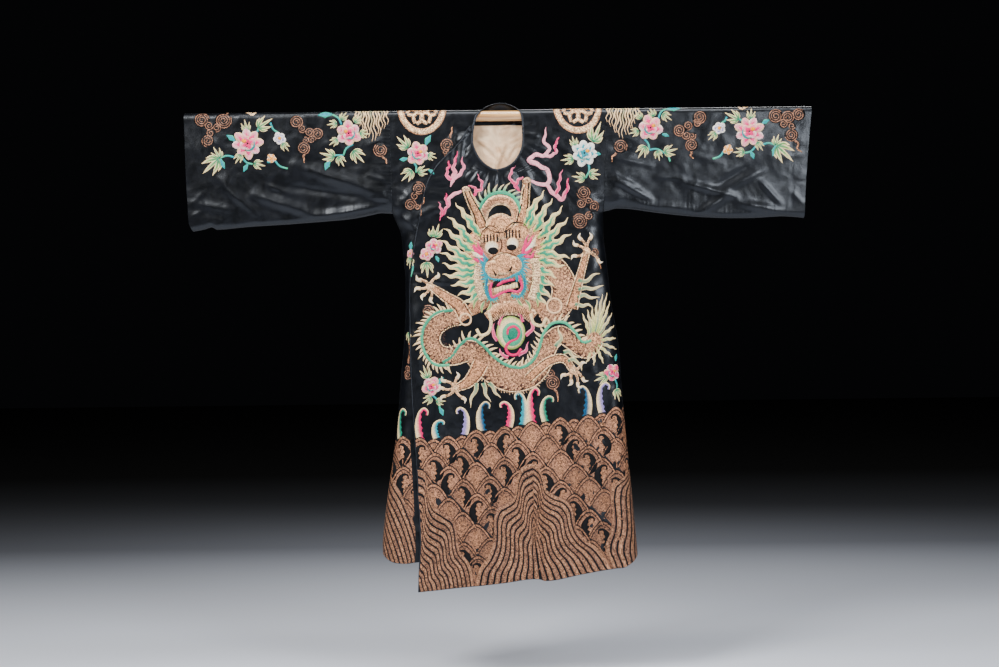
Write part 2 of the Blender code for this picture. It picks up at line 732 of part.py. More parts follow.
def build_sleeve(name, hand, under, mouth_column, fold_table, material):
    """A sleeve: one tube turned over the rod, from the armhole to its mouth."""
    half = TURN_STEPS + SLEEVE_SIDE_STEPS + FOOT_STEPS
    side_column = "left" if hand > 0 else "right"

    def section(step, reach):
        """Share of the depth and the drop of one step down half of the ring."""
        foot = read(under, "reach", reach, "drop")
        near = ease((reach - SLEEVE_EASE_START) / SLEEVE_EASE_REACH)
        close = ARMPIT_CLOSE + (SLEEVE_FOOT_CLOSE - ARMPIT_CLOSE) * near
        if step <= TURN_STEPS:
            angle = math.pi / 2 * step / TURN_STEPS
            return math.sin(angle), -TURN * math.cos(angle)
        step -= TURN_STEPS
        if step <= SLEEVE_SIDE_STEPS:
            return 1.0, (foot - close) * step / SLEEVE_SIDE_STEPS
        angle = math.pi / 2 * (step - SLEEVE_SIDE_STEPS) / FOOT_STEPS
        return math.cos(angle), foot - close + close * math.sin(angle)

    def point_at(around, along):
        """Point of the sleeve's outer face: around counts steps, along is 0 to 1."""
        step = around if around <= half else 2 * half - around
        side = -1 if around <= half else 1
        column = "front" if side < 0 else "back"
        rough = SLEEVE_NEAR + (SLEEVE_FAR - SLEEVE_NEAR) * along
        share, drop = section(step, rough)
        start = abs(side_x(drop, side_column)) + SEAM_GAP / 2
        stop = read(MOUTHS, "drop", drop, mouth_column)
        reach = start + (stop - start) * along
        share, drop = section(step, reach)
        near = ease((reach - start) / SLEEVE_EASE_REACH)
        body = read(DEPTHS, "drop", drop, column)
        own = read(SLEEVE_DEPTHS, "drop", drop, column)
        depth = body + (own - body) * near
        y = depth * share
        if drop > 0.0:
            rows = [f for f in fold_table if f.side in (0, side)]
            swell = sum(ridge(reach, drop, f.reach0, f.drop0, f.reach1, f.drop1,
                              f.width, f.height) for f in rows)
            fade = ease(drop / FOLD_FADE_DROP) * ease((reach - start) / FOLD_FADE_REACH) * share
            y += swell * fade
        return Vector((hand * reach, side * y, -drop))

    def normal_at(around, along):
        ahead = point_at(min(around + RING_STEP, 2 * half), along)
        behind = point_at(max(around - RING_STEP, 0), along)
        if around in (0, 2 * half):
            ahead = point_at(RING_STEP, along)
            behind = point_at(2 * half - RING_STEP, along)
        further = point_at(around, min(along + REACH_STEP, 1.0))
        nearer = point_at(around, max(along - REACH_STEP, 0.0))
        normal = (further - nearer).cross(ahead - behind).normalized()
        return normal * -hand

    def outer_at(u, v):
        return point_at(round(u * 2 * half), v)

    def inner_at(u, v):
        around = round(u * 2 * half)
        outer = point_at(around, v)
        inner = outer - normal_at(around, v) * CLOTH
        if v < 0.5 / SLEEVE_RINGS or v > 1.0 - 0.5 / SLEEVE_RINGS:
            inner.x = outer.x
        return inner

    return cloth_wall(name, 2 * half, SLEEVE_RINGS, outer_at, inner_at, material, tube=True)


def build_back_lining(material):
    """Plain lining of the back, which shows through the neck."""
    def smooth_back(a, run, side):
        return body_point(a, run, side, 0.0)

    def face_at(u, v, thickness):
        drop = LINING_TOP + (LINING_FOOT - LINING_TOP) * v
        run = run_at(drop)
        right = side_x(drop, "right") + LINING_EDGE
        left = side_x(drop, "left") - LINING_EDGE
        a = across(right + (left - right) * u, drop)
        under = CLOTH + LINING_SETBACK + LINING_HANG * ease((drop - LINING_TOP) / LINING_EASE)
        return smooth_back(a, run, 1) - outward(smooth_back, a, run, 1) * (under + thickness)

    def outer_at(u, v):
        return face_at(u, v, 0.0)

    def inner_at(u, v):
        return face_at(u, v, LINING)

    return cloth_wall("back_lining", LINING_COLUMNS, LINING_ROWS, outer_at, inner_at,
                      material)


def neck_path():
    """Neck edge all round, with the surface's normal at each of its points."""
    over_rod = [ARC * i / (TURN_STEPS + 1) for i in range(TURN_STEPS + 1)]
    runs = over_rod + [row.run for row in NECK if row.run > ARC]
    path = []
    for run in reversed(runs[:-1]):
        a = across(neck_left(run), drop_at(run))
        normal = outward(body_point, a, run, -1)
        path.append((body_point(a, run, -1) + normal * front_left_lift(a, run), normal))
    for i in range(1, BACK_NECK_STEPS):
        x = BACK_NECK_RIGHT + (BACK_NECK_LEFT - BACK_NECK_RIGHT) * i / BACK_NECK_STEPS
        normal = outward(body_point, x, 0.0, 1)
        path.append((body_point(x, 0.0, 1), normal))
    for run in runs:
        a = across(neck_right(run), drop_at(run))
        normal = outward(body_point, a, run, -1)
        lift = OVERLAP_LIFT * ease((drop_at(run) - NECK_LIFT_DROP) / NECK_LIFT_EASE)
        path.append((body_point(a, run, -1) + normal * lift, normal))
    return path


def build_neck_binding(material):
    """Flat bound edge of the neck: an oval section swept round the opening."""
    path = neck_path()
    middle = Vector(NECK_MIDDLE)
    count = len(path)
    rings = []
    bm = bmesh.new()
    for i in range(count):
        point, normal = path[i]
        ahead = path[(i + 1) % count][0]
        behind = path[i - 1][0]
        along = (ahead - behind).normalized()
        inward = normal.cross(along).normalized()
        if inward.dot(middle - point) < 0.0:
            inward = -inward
        centre = point + inward * (BAND_WIDTH / 2 + BAND_GAP) + normal * BAND_LIFT
        ring = []
        for k in range(BAND_SIDES):
            angle = 2.0 * math.pi * k / BAND_SIDES
            wide = inward * (BAND_WIDTH / 2 * math.cos(angle))
            high = normal * (BAND_THICKNESS / 2 * math.sin(angle))
            ring.append(bm.verts.new(centre + wide + high))
        rings.append(ring)
    for i in range(count):
        ring, following = rings[i], rings[(i + 1) % count]
        for k in range(BAND_SIDES):
            after = (k + 1) % BAND_SIDES
            bm.faces.new((ring[k], ring[after], following[after], following[k]))
    bmesh.ops.recalc_face_normals(bm, faces=bm.faces)
    return finish("neck_binding", bm, material)


def build_rod(material):
    bm = bmesh.new()
    bmesh.ops.create_cone(bm, cap_ends=True, segments=ROD_SIDES,
                          radius1=ROD_DIAMETER / 2, radius2=ROD_DIAMETER / 2,
                          depth=ROD_LENGTH)
    rims = [e for e in bm.edges if abs(e.verts[0].co.z - e.verts[1].co.z) < 1e-6]
    bmesh.ops.bevel(bm, geom=rims, offset=ROD_CHAMFER, segments=CHAMFER_STEPS, profile=0.5,
                    affect="EDGES", material=-1)
    for vert in bm.verts:
        vert.co = Vector((vert.co.z, vert.co.y, -vert.co.x))
    bmesh.ops.recalc_face_normals(bm, faces=bm.faces)
    return finish("rod", bm, material)


def build_closure(material):
    """Knot button on the overlap's tip, in a loop of the same cord."""
    run = run_at(KNOT_DROP)
    a = across(KNOT_X, KNOT_DROP)
    normal = outward(body_point, a, run, -1)
    seat = body_point(a, run, -1) + normal * OVERLAP_LIFT
    turn = Vector((0.0, 0.0, 1.0)).rotation_difference(normal).to_matrix()
    centre = seat + normal * (KNOT_RADIUS + KNOT_STAND)
    ball = bmesh.new()
    bmesh.ops.create_uvsphere(ball, u_segments=KNOT_SEGMENTS, v_segments=KNOT_RINGS,
                              radius=KNOT_RADIUS)
    for vert in ball.verts:
        vert.co = centre + turn @ vert.co
    finish("knot_button", ball, material)

    rise = LOOP_CORD + KNOT_STAND
    below = KNOT_RADIUS + KNOT_STAND - rise
    waist = math.sqrt(KNOT_RADIUS ** 2 - below ** 2)
    ring_radius = waist + LOOP_CORD + LAYER_GAP
    ring_centre = seat + normal * rise
    loop = bmesh.new()
    circle = bmesh.ops.create_circle(loop, segments=LOOP_SIDES, radius=LOOP_CORD)
    for vert in circle["verts"]:
        vert.co = Vector((ring_radius + vert.co.x, 0.0, vert.co.y))
    bmesh.ops.spin(loop, geom=loop.verts[:] + loop.edges[:], cent=(0, 0, 0),
                   axis=(0, 0, 1), angle=2.0 * math.pi, steps=LOOP_STEPS, use_merge=True)
    for vert in loop.verts:
        vert.co = ring_centre + turn @ vert.co
    bmesh.ops.recalc_face_normals(loop, faces=loop.faces)
    finish("button_loop", loop, material)


def build_robe():
    clear_scene()
    satin = make_material("black_satin", SATIN_COLOUR, SATIN_ROUGHNESS)
    lining = make_material("beige_lining", LINING_COLOUR, LINING_ROUGHNESS)
    binding = make_material("neck_satin", BINDING_COLOUR, BINDING_ROUGHNESS)
    wood = make_material("rod_wood", WOOD_COLOUR, WOOD_ROUGHNESS)
    build_rod(wood)
    build_front_left(satin)
    build_front_overlap(satin)
    build_front_underlap(satin)
    build_backs(satin)
    build_sleeve("sleeve_right", -1, RIGHT_SLEEVE_UNDER, "right", RIGHT_SLEEVE_FOLDS, satin)
    build_sleeve("sleeve_left", 1, LEFT_SLEEVE_UNDER, "left", LEFT_SLEEVE_FOLDS, satin)
    build_back_lining(lining)
    build_neck_binding(binding)
    build_closure(binding)


build_robe()
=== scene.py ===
# Theatre robe of lined black satin with couched gold and silk embroidery, hung on a rod.
# Metres, +Z up; the front is towards -Y, and left and right in a name are the wearer's.

import math
from collections import namedtuple

import bmesh
import bpy
import numpy as np
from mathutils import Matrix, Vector


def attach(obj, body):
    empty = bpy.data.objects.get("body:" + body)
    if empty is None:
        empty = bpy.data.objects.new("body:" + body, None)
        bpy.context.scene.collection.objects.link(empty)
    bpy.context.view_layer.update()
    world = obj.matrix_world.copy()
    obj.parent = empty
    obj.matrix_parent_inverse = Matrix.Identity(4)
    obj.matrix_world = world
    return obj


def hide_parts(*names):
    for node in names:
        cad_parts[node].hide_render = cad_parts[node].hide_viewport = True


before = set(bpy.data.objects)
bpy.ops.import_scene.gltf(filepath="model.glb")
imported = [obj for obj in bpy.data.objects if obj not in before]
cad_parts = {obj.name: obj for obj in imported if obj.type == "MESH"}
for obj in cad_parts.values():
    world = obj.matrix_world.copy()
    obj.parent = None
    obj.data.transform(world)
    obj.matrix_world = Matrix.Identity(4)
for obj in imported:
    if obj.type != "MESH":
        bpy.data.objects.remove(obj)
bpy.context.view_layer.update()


# View: level with the middle of the robe, from straight in front, with the
# slight turn that the rod has in the picture.
VIEW_PLACE = (-0.0005, -5.0, -0.6253)
VIEW_ROLL = math.radians(0.66)
VIEW_LENS = 62.67
VIEW_SENSOR = 36.0


def put_in_scene(name, data):
    made = bpy.data.objects.new(name, data)
    bpy.context.scene.collection.objects.link(made)
    return made


view_data = bpy.data.cameras.new("view")
view_data.lens = VIEW_LENS
view_data.sensor_width = VIEW_SENSOR
view_data.sensor_fit = "HORIZONTAL"
view = put_in_scene("view", view_data)
view.location = VIEW_PLACE
view.rotation_euler = (math.pi / 2, VIEW_ROLL, 0.0)
bpy.context.scene.camera = view


# Studio: a pale floor well below the hem, a dim room and large soft lamps, so
# that black satin stays black and only its folds shine. The floor's colour is
# painted darker with distance, fading to black far behind the robe, as painted shade.
FLOOR_DROP = 1.62
FLOOR_SIZE = 40.0
FLOOR_NEAR = -0.3
FLOOR_FAR = 7.4
FLOOR_COLOUR = (0.82, 0.86, 0.96, 1.0)
FLOOR_MIDDLE_AT = 0.55
FLOOR_MIDDLE_PAINTED_SHADE = (0.118, 0.126, 0.148, 1.0)
FLOOR_FAR_PAINTED_SHADE = (0.0, 0.0, 0.0, 1.0)
ROOM_COLOUR = (0.0022, 0.0023, 0.0027, 1.0)

Lamp = namedtuple("Lamp", "name place aim width height power colour")
LAMPS = [
    Lamp("key", (-2.3, -3.0, 2.1), (0.0, 0.0, -0.40), 1.3, 1.3, 220.0, (1.0, 0.985, 0.96)),
    Lamp("fill", (2.3, -3.4, 0.75), (0.1, 0.0, -0.45), 1.2, 1.4, 118.0, (0.95, 0.97, 1.0)),
    Lamp("top", (0.2, -0.9, 2.3), (0.0, 0.0, -0.3), 2.2, 0.7, 80.0, (1.0, 1.0, 1.0)),
    Lamp("back", (0.5, 3.4, 1.4), (0.0, 0.0, -0.6), 2.4, 1.6, 90.0, (1.0, 1.0, 1.0)),
]


def set_inputs(node, values):
    """Sets a shader node's inputs, each by its name."""
    for name, value in values.items():
        node.inputs[name.replace("_", " ")].default_value = value


def new_material(name, **values):
    """A material with values for its main shader; gives its node tree and that shader too."""
    material = bpy.data.materials.new(name)
    material.use_nodes = True
    shader = material.node_tree.nodes["Principled BSDF"]
    set_inputs(shader, values)
    return material, material.node_tree, shader


def add_node(tree, kind, **values):
    node = tree.nodes.new("ShaderNode" + kind)
    set_inputs(node, values)
    return node


def colour_ramp(tree, low, high, low_at=0.0, high_at=1.0):
    """Tones from a low to a high colour."""
    ramp = tree.nodes.new("ShaderNodeValToRGB")
    for stop, at, colour in zip(ramp.color_ramp.elements, (low_at, high_at), (low, high)):
        stop.position = at
        stop.color = colour
    return ramp


def wire(tree, *joins):
    """Links nodes; each join is a node, its output, the next node and its input."""
    for source, output, target, name in joins:
        tree.links.new(source.outputs[output], target.inputs[name])


floor_mesh = bmesh.new()
bmesh.ops.create_grid(floor_mesh, x_segments=2, y_segments=2, size=FLOOR_SIZE / 2)
bmesh.ops.translate(floor_mesh, verts=floor_mesh.verts, vec=(0.0, 0.0, -FLOOR_DROP))
floor_data = bpy.data.meshes.new("studio_floor")
floor_mesh.to_mesh(floor_data)
floor_mesh.free()
floor = put_in_scene("studio_floor", floor_data)
floor_paint, floor_tree, floor_shader = new_material("floor_paint", Roughness=0.9)
floor_place = add_node(floor_tree, "TexCoord")
floor_split = add_node(floor_tree, "SeparateXYZ")
# Painted shade: the floor's colour goes from pale near the robe to black far behind it.
floor_painted_falloff = add_node(floor_tree, "MapRange", From_Min=FLOOR_FAR, From_Max=FLOOR_NEAR)
floor_tones = colour_ramp(floor_tree, FLOOR_FAR_PAINTED_SHADE, FLOOR_COLOUR)
floor_tones.color_ramp.elements.new(FLOOR_MIDDLE_AT).color = FLOOR_MIDDLE_PAINTED_SHADE
wire(floor_tree, (floor_place, "Object", floor_split, "Vector"), (floor_split, "Y", floor_painted_falloff, "Value"),
     (floor_painted_falloff, "Result", floor_tones, "Fac"), (floor_tones, "Color", floor_shader, "Base Color"))
floor_data.materials.append(floor_paint)

room = bpy.data.worlds.new("room")
room.use_nodes = True
room.node_tree.nodes["Background"].inputs["Color"].default_value = ROOM_COLOUR
bpy.context.scene.world = room

for lamp in LAMPS:
    lamp_data = bpy.data.lights.new(lamp.name, "AREA")
    lamp_data.shape = "RECTANGLE"
    lamp_data.size = lamp.width
    lamp_data.size_y = lamp.height
    lamp_data.energy = lamp.power
    lamp_data.color = lamp.colour
    lamp_object = put_in_scene(lamp.name, lamp_data)
    lamp_object.location = lamp.place
    aim = Vector(lamp.aim) - Vector(lamp.place)
    lamp_object.rotation_euler = aim.to_track_quat("-Z", "Y").to_euler()


# Rod: a turned and varnished wooden pole through both sleeves, with its grain
# along it and the ends eased.
ROD_LIGHT = (0.86, 0.50, 0.20, 1.0)
ROD_DARK = (0.44, 0.20, 0.06, 1.0)

rod_wood, rod_tree, rod_shader = new_material("rod_wood", Coat_Weight=1.0, Coat_Roughness=0.16, Coat_IOR=1.8)
rod_place = add_node(rod_tree, "TexCoord")
rod_stretch = add_node(rod_tree, "Mapping", Scale=(5.0, 140.0, 140.0))
rod_grain = add_node(rod_tree, "TexNoise", Scale=1.0, Detail=6.0, Distortion=0.6)
rod_tones = colour_ramp(rod_tree, ROD_DARK, ROD_LIGHT, low_at=0.34, high_at=0.62)
rod_rough = add_node(rod_tree, "MapRange", To_Min=0.42, To_Max=0.28)
rod_bump = add_node(rod_tree, "Bump", Strength=0.25, Distance=0.0004)
wire(rod_tree, (rod_place, "Object", rod_stretch, "Vector"), (rod_stretch, "Vector", rod_grain, "Vector"),
     (rod_grain, "Fac", rod_tones, "Fac"), (rod_tones, "Color", rod_shader, "Base Color"),
     (rod_grain, "Fac", rod_rough, "Value"), (rod_rough, "Result", rod_shader, "Roughness"),
     (rod_grain, "Fac", rod_bump, "Height"), (rod_bump, "Normal", rod_shader, "Normal"))
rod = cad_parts["rod"]
rod.data.materials.clear()
rod.data.materials.append(rod_wood)


# Front left panel: half of the front, cut in one from the shoulder to the hem.
# It turns over the rod, is sewn at the front seam and the side, and is lined.
TURN = 0.0172
ARC = TURN * math.pi / 2
CLOTH = 0.0016
LAYER_GAP = 0.0016
SEAM_GAP = 0.00004
TOP_RUN = SEAM_GAP / 2
ROUND_WIDTH = 0.045
ARMPIT = 0.278
ARMPIT_CLOSE = 0.052
SKIRT_START = 0.330
NOMINAL_RUN = 1.340
BACK_NECK_RISE = 0.0190
BACK_NECK_LEAN = 0.0085
BACK_NECK_LEFT = -0.0440
BACK_NECK_RIGHT = 0.0610
OVERLAP_TOP = 0.030
OVERLAP_LIFT = CLOTH + LAYER_GAP
OVERLAP_STAND = 0.006
OVERLAP_STAND_TOP = 0.300
OVERLAP_STAND_REACH = 0.5
OVERLAP_STAND_WIDTH = 0.12
OVERLAP_FADE = 0.180
SEAM_LIFT_TOP = 0.02
SEAM_LIFT_REACH = 0.10
SEAM_LIFT_IN = 0.02
NECK_FOOT = 0.187
NORMAL_STEP = 0.0006


def in_mm(kind, rows):
    """A table's rows, given in millimetres."""
    return [kind(*[value / 1000.0 for value in row]) for row in rows]


Side = namedtuple("Side", "drop right left")
SHOULDER = Side(-0.0172, -0.3085, 0.3135)
SIDES = in_mm(Side, [
    (278, -303, 302), (298, -296, 301.5), (321, -285.5, 301), (349, -279, 301.2), (400, -274.5, 307),
    (465, -269, 314), (540, -269, 322), (651, -275.5, 340), (763, -286.5, 348), (893, -298, 357),
    (1000, -313, 366), (1109, -329, 375), (1224, -341.5, 385), (1300, -340, 389), (1400, -340, 389),
])
Depth = namedtuple("Depth", "drop front back")
DEPTHS = [Depth(0.0, TURN, TURN)] + in_mm(Depth, [
    (30, 18, 19.5), (100, 21.5, 21.5), (200, 24.5, 22.5), (300, 27, 23.5), (500, 31, 26), (800, 38, 30),
    (1100, 46, 34), (1400, 54, 38),
])
Neck = namedtuple("Neck", "run right left")
NECK = in_mm(Neck, [
    (0, -44, 61), (15, -53, 69), (27, -62, 73), (45, -68, 75), (63, -72, 76), (97, -75, 76), (120, -71, 73),
    (138, -63.5, 66.5), (152, -55.5, 58.5), (163, -46.5, 49.5), (172, -37, 39), (180, -24.5, 24.5),
    (184, -16, 13), (187, -2, -2),
])
Edge = namedtuple("Edge", "drop x")
OVERLAP_EDGE = in_mm(Edge, [
    (30, -80), (40, -87), (69, -104), (100, -132), (141, -174), (172, -194), (200, -207), (240, -217),
    (282, -225), (340, -237), (400, -247), (470, -256), (641, -255), (812, -252), (911, -247), (1082, -238),
    (1225, -233.5), (1290, -237), (1370, -240.5),
])
FRONT_SEAM = in_mm(Edge, [(150, -2), (439, 20), (630, 41), (1011, 86), (1330, 110)])
Hem = namedtuple("Hem", "x drop")
FRONT_HEM = in_mm(Hem, [
    (-240, 1358), (1, 1336), (78, 1325), (106, 1327), (120, 1331), (163, 1326), (261, 1307), (327, 1298),
    (347, 1296), (361, 1289), (376, 1280), (389, 1265),
])

# Creases of the front: the large folds first, then the small ones at the neck,
# the knot, the armholes and the waist; a negative height is a trough
Fold = namedtuple("Fold", "x0 drop0 x1 drop1 width height")
FRONT_FOLDS = in_mm(Fold, [
    (94, 1000, 112, 1360, 15, -8.5), (66, 1020, 74, 1360, 18, 5), (146, 1060, 158, 1360, 22, 6),
    (232, 820, 262, 1340, 30, 6), (205, 900, 214, 1340, 16, -5), (300, 760, 322, 1320, 18, -5.5),
    (-40, 980, -52, 1380, 30, 6), (-110, 900, -128, 1380, 20, -4.5), (-180, 860, -190, 1380, 24, 5.5),
    (52, 140, 120, 250, 10, 4), (74, 110, 150, 190, 8, 3.5), (80, 75, 150, 105, 8, 3),
    (30, 175, 70, 300, 10, 3.5), (-100, 60, -110, 170, 8, 3.5), (-125, 30, -140, 150, 9, 3),
    (-20, 185, -60, 270, 10, 3), (292, 265, 190, 180, 14, 5), (290, 300, 160, 300, 16, 4.5),
    (-292, 265, -210, 190, 13, 5), (-280, 310, -140, 250, 14, 4.5), (300, 420, 180, 520, 20, 4),
    (-230, 468, -110, 480, 10, 3.5), (-200, 560, -160, 840, 24, 3.5), (70, 34, 104, 26, 5, 3),
    (78, 52, 118, 62, 5, 3.8), (79, 92, 132, 132, 5, 4.2), (70, 118, 112, 168, 5, -3.4),
    (62, 126, 96, 186, 5, 3.8), (48, 146, 76, 204, 5, -3.4), (34, 160, 56, 214, 5, 3.4),
    (16, 168, 26, 222, 5, -2.7), (-6, 172, -12, 218, 5, 3), (-30, 166, -48, 212, 5, -2.7),
    (-46, 152, -76, 196, 5, 3.4), (-62, 134, -98, 176, 5, -3.4), (-74, 106, -104, 136, 5, 3.4),
    (-78, 80, -94, 100, 5, -2.7), (-84, 50, -122, 80, 5, 3.8), (-86, 42, -140, 52, 5, -3),
    (-82, 34, -128, 20, 5, 3.4), (120, 40, 210, 120, 12, 2.2), (130, 150, 205, 235, 10, -2.2),
    (165, 175, 250, 262, 9, 2.4), (110, 215, 160, 330, 12, 2), (240, 225, 300, 232, 7, 2.2),
    (236, 262, 296, 284, 7, -2), (215, 320, 292, 352, 10, 2.2), (180, 380, 286, 372, 12, -1.8),
    (-298, 205, -240, 230, 7, 2.2), (-292, 246, -226, 262, 6, -2), (-284, 282, -224, 338, 8, 2.4),
    (-262, 214, -246, 300, 8, 2.6), (-240, 205, -232, 268, 6, -2), (-204, 186, -136, 178, 4, 1.6),
    (-208, 202, -142, 206, 4, -1.5), (-206, 220, -146, 230, 4, 1.7), (-206, 240, -150, 246, 4, -1.4),
    (-196, 262, -140, 276, 5, 1.6), (-100, 236, -30, 288, 10, 1.8), (-90, 200, -18, 228, 7, -1.6),
    (-252, 455, -150, 462, 5, 2.2), (-246, 476, -166, 488, 6, -1.8), (-244, 600, -226, 760, 8, 1.6),
    (180, 560, 176, 640, 12, 1.6), (284, 470, 316, 640, 12, -2), (250, 700, 300, 820, 12, 2.2),
    (40, 780, 52, 920, 16, 1.6), (-90, 760, -84, 900, 14, -1.6), (322, 1120, 368, 1128, 5, 2),
    (318, 1150, 372, 1162, 5, -1.8), (326, 1180, 378, 1186, 5, 2), (322, 1214, 380, 1222, 6, -2),
    (330, 1246, 384, 1242, 5, 1.8), (-236, 1060, -200, 1160, 10, 2.6), (-196, 1090, -150, 1190, 10, -2.4),
])
FOLD_END = 0.35
FOLD_START_DROP = 0.04

# Small puckers that the seam thread draws in the satin, even in kind but not
# in length or depth
PUCKER_STEP = 0.0118
PUCKER_LENGTH = 0.030
PUCKER_HEIGHT = 0.0016
PUCKER_UNEVEN = 0.4
PUCKER_BEATS = (71.0, 37.0)

# Crinkle of satin that was kept folded: a few crossing waves, low and uneven
CRINKLE_WAVES = 26
CRINKLE_SHORT = 0.016
CRINKLE_LONG = 0.085
CRINKLE_HEIGHT = 0.00012
CRINKLE_BEND = 0.012
CRINKLE_BEND_STEP = 0.11
crinkle_draw = np.random.default_rng(11)
crinkle_turn = crinkle_draw.uniform(0.0, math.pi, CRINKLE_WAVES)
crinkle_reach = crinkle_draw.uniform(CRINKLE_SHORT, CRINKLE_LONG, CRINKLE_WAVES)
crinkle_start = crinkle_draw.uniform(0.0, 2.0 * math.pi, CRINKLE_WAVES)


def ease(value):
    value = np.clip(value, 0.0, 1.0)
    return value * value * (3.0 - 2.0 * value)


def curve_between(start, end, slope0, slope1, part, span):
    """A smooth curve from start to end that leaves and meets them at given slopes."""
    rise = part * part * (3.0 - 2.0 * part)
    bend0 = part * (1.0 - part) ** 2 * span * slope0
    bend1 = part * part * (part - 1.0) * span * slope1
    return start * (1.0 - rise) + end * rise + bend0 + bend1


def read(table, at, column):
    """Values of a table's column at many places, on a smooth curve through its rows."""
    keys = np.array([row[0] for row in table])
    values = np.array([getattr(row, column) for row in table])
    spans = np.diff(keys)
    steps = np.diff(values) / spans
    slopes = np.concatenate([steps[:1], (values[2:] - values[:-2]) / (keys[2:] - keys[:-2]), steps[-1:]])
    row = np.clip(np.searchsorted(keys, at, side="right") - 1, 0, len(keys) - 2)
    part = np.clip((at - keys[row]) / spans[row], 0.0, 1.0)
    step = steps[row]
    most = 3.0 * np.abs(step)
    slope0 = np.where(step * slopes[row] <= 0.0, 0.0, np.clip(slopes[row], -most, most))
    slope1 = np.where(step * slopes[row + 1] <= 0.0, 0.0, np.clip(slopes[row + 1], -most, most))
    return curve_between(values[row], values[row + 1], slope0, slope1, part, spans[row])


def ridges(table, x, drop):
    """Height of all of a table's soft ridges, which fade out at their ends."""
    total = np.zeros_like(x)
    for x0, drop0, x1, drop1, width, height in table:
        dx = x1 - x0
        dz = drop1 - drop0
        part = np.clip(((x - x0) * dx + (drop - drop0) * dz) / (dx * dx + dz * dz), 0.0, 1.0)
        off = np.hypot(x - x0 - part * dx, drop - drop0 - part * dz)
        total += height * np.exp(-(off / width) ** 2) * (FOLD_END + (1.0 - FOLD_END) * np.sin(math.pi * part))
    return total


def crinkle(x, drop):
    """Height of the low crossing waves that the folded satin keeps."""
    total = np.zeros_like(x)
    for turn, reach, start in zip(crinkle_turn, crinkle_reach, crinkle_start):
        across = x * math.cos(turn) + drop * math.sin(turn)
        along = drop * math.cos(turn) - x * math.sin(turn)
        bend = CRINKLE_BEND * np.sin(along * 2.0 * math.pi / CRINKLE_BEND_STEP + start)
        total += reach * np.sin((across + bend) * 2.0 * math.pi / reach + start)
    return total * CRINKLE_HEIGHT / CRINKLE_LONG


def side_x(drop, column):
    """Armhole seam as a straight line down to the armpit, then the side seam."""
    shoulder = getattr(SHOULDER, column)
    armpit = getattr(SIDES[0], column)
    part = (drop - SHOULDER.drop) / (ARMPIT - SHOULDER.drop)
    return np.where(drop > ARMPIT, read(SIDES, drop, column), shoulder + (armpit - shoulder) * part)


def drop_at(run):
    return np.where(run < ARC, -TURN * np.cos(np.minimum(run, ARC) / TURN), run - ARC)


def past_sides(at, drop):
    """Where the body's two sides start to turn, and how far a place is beyond them."""
    right = side_x(drop, "right") + ROUND_WIDTH
    left = side_x(drop, "left") - ROUND_WIDTH
    beyond = np.where(at > left, at - left, np.where(at < right, at - right, 0.0))
    return right, left, beyond / ROUND_WIDTH


def across_cloth(x, drop):
    """Distance across the cloth for an x, along the rounded sides as well."""
    right, left, beyond = past_sides(x, drop)
    return np.clip(x, right, left) + ROUND_WIDTH * np.arcsin(np.clip(beyond, -1.0, 1.0))


def armhole_share(drop):
    closing = np.clip((drop - ARMPIT + ARMPIT_CLOSE) / ARMPIT_CLOSE, 0.0, 1.0)
    return np.sqrt(np.maximum(0.0, 1.0 - closing * closing))


def seam_puckers(off, along):
    """Puckers at a distance from a seam, by how far along it they are."""
    beat = np.sin(2.0 * math.pi * along / PUCKER_STEP)
    slow = np.sin(along * PUCKER_BEATS[0]) * np.sin(along * PUCKER_BEATS[1] + 1.0)
    uneven = 1.0 - PUCKER_UNEVEN + PUCKER_UNEVEN * slow
    return PUCKER_HEIGHT * beat * uneven * np.exp(-(off / PUCKER_LENGTH) ** 2)


def body_point(a, run, side, folds, fold_share=1.0):
    """Points of the body's base surface: side is -1 for the front, 1 for the back."""
    drop = drop_at(run)
    right, left, turn = past_sides(a, drop)
    x = np.clip(a, right, left) + ROUND_WIDTH * np.sin(turn)
    middle = (BACK_NECK_LEFT + BACK_NECK_RIGHT) / 2
    half = (BACK_NECK_RIGHT - BACK_NECK_LEFT) / 2
    high = np.maximum(0.0, 1.0 - ((x - middle) / half) ** 2) if side > 0 else np.zeros_like(x)
    lean = BACK_NECK_LEAN * high
    angle = np.minimum(run, ARC) / TURN
    top_y = lean + (TURN - lean) * np.sin(angle)
    top_z = (TURN + BACK_NECK_RISE * high) * np.cos(angle)
    depth = read(DEPTHS, drop, "front" if side < 0 else "back")
    edge = depth * armhole_share(drop) + SEAM_GAP / 2
    swell = ridges(folds, x, drop) + crinkle(x, drop)
    for column in ("right", "left"):
        off = np.abs(x - side_x(drop, column))
        swell = swell + seam_puckers(off, drop) * (drop < ARMPIT)
    fade = fold_share * ease(drop / FOLD_START_DROP) * np.cos(turn)
    low_y = edge + (depth - edge) * np.cos(turn) + fade * swell
    y = np.where(run < ARC, top_y, low_y)
    z = np.where(run < ARC, top_z, -drop)
    return np.stack([x, side * y, z], axis=-1)


def front_base(a, run):
    return body_point(a, run, -1, FRONT_FOLDS)


def lifted(point_at, a, run, out, height, first=0.0):
    """Points at a height over a surface, along its normal; out turns the normal."""
    over_a = point_at(a + NORMAL_STEP, run) - point_at(a - NORMAL_STEP, run)
    over_run = point_at(a, run + NORMAL_STEP) - point_at(a, np.maximum(run - NORMAL_STEP, first))
    normal = np.cross(over_a, over_run)
    normal *= out / np.linalg.norm(normal, axis=-1, keepdims=True)
    return point_at(a, run) + normal * np.asarray(height)[..., None]


def overlap_lift(a, run):
    """The overlap lies on the underlap; its free edge stands off a little below."""
    drop = drop_at(run)
    edge = read(OVERLAP_EDGE, drop, "x")
    stand = OVERLAP_STAND * ease((drop - OVERLAP_STAND_TOP) / OVERLAP_STAND_REACH)
    return OVERLAP_LIFT + stand * ease(1.0 - (a - edge) / OVERLAP_STAND_WIDTH)


